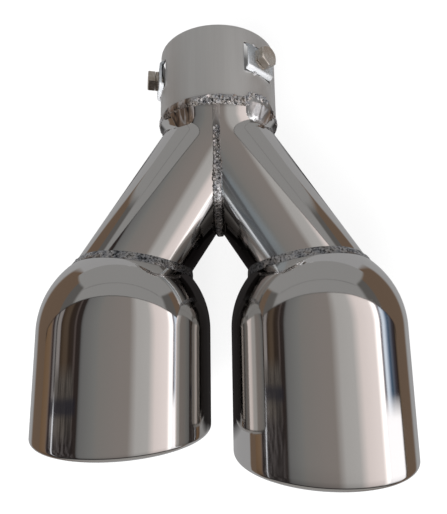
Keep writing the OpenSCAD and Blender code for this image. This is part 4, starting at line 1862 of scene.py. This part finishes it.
class EXHAUST_OT_seats(ExhaustPiece, bpy.types.Operator):
    """Make the bent clamp seats and their tack welds"""

    bl_idname = "exhaust.seats"
    bl_label = "Clamp Seats"

    def execute(self, context):
        for number in CLAMPS:
            make_seat(sizes(), number)
            make_tacks(sizes(), number)
        return {"FINISHED"}


class EXHAUST_OT_fasteners(ExhaustPiece, bpy.types.Operator):
    """Make the clamp bolts and their thin nuts"""

    bl_idname = "exhaust.fasteners"
    bl_label = "Bolts and Nuts"

    def execute(self, context):
        for number in CLAMPS:
            make_fasteners(sizes(), number)
        return {"FINISHED"}


class EXHAUST_OT_stage(bpy.types.Operator):
    """Set the floor, the reflected room, the lamps and the camera"""

    bl_idname = "exhaust.stage"
    bl_label = "Studio"

    def execute(self, context):
        studio = context.scene.exhaust_studio
        low, high = CAD_BOX
        floor_z = low[2] - 0.0003
        make_world()
        make_floor(studio, floor_z)
        make_tent(studio)
        make_ground(floor_z + 0.001)
        middle = (low + high) / 2
        make_lamp("main_lamp", (-0.3, -1.0, 0.75), middle, 0.9, studio.lamp_power)
        make_lamp("fill_lamp", (0.8, 0.3, 0.9), middle, 0.9, studio.lamp_power * 0.1)
        make_camera(studio)
        context.scene.view_settings.view_transform = "Standard"
        return {"FINISHED"}


class EXHAUST_PT_panel(bpy.types.Panel):
    """The pieces, sizes and colours of the exhaust tip"""

    bl_idname = "EXHAUST_PT_panel"
    bl_label = "Exhaust Tip"
    bl_space_type = "VIEW_3D"
    bl_region_type = "UI"
    bl_category = "Exhaust Tip"

    def draw(self, context):
        column = self.layout.column(align=True)
        for operator in STEPS:
            column.operator(operator.bl_idname)
        for group in (sizes(), colours(), context.scene.exhaust_studio):
            box = self.layout.box()
            for key in group.__annotations__:
                box.prop(group, key)


STEPS = (
    EXHAUST_OT_sleeve,
    EXHAUST_OT_branches,
    EXHAUST_OT_tips,
    EXHAUST_OT_welds,
    EXHAUST_OT_seats,
    EXHAUST_OT_fasteners,
    EXHAUST_OT_stage,
)
GROUPS = {
    "exhaust_sizes": ExhaustSizes,
    "exhaust_colours": ExhaustColours,
    "exhaust_studio": ExhaustStudio,
}


def register():
    for name, group in GROUPS.items():
        bpy.utils.register_class(group)
        setattr(bpy.types.Scene, name, PointerProperty(type=group))
    for cls in (*STEPS, EXHAUST_PT_panel):
        bpy.utils.register_class(cls)


def unregister():
    for cls in (EXHAUST_PT_panel, *reversed(STEPS)):
        bpy.utils.unregister_class(cls)
    for name, group in GROUPS.items():
        delattr(bpy.types.Scene, name)
        bpy.utils.unregister_class(group)


def main():
    register()
    bpy.ops.exhaust.sleeve()
    bpy.ops.exhaust.branches()
    bpy.ops.exhaust.tips()
    bpy.ops.exhaust.welds()
    bpy.ops.exhaust.seats()
    bpy.ops.exhaust.fasteners()
    bpy.ops.exhaust.stage()


if __name__ == "__main__":
    main()
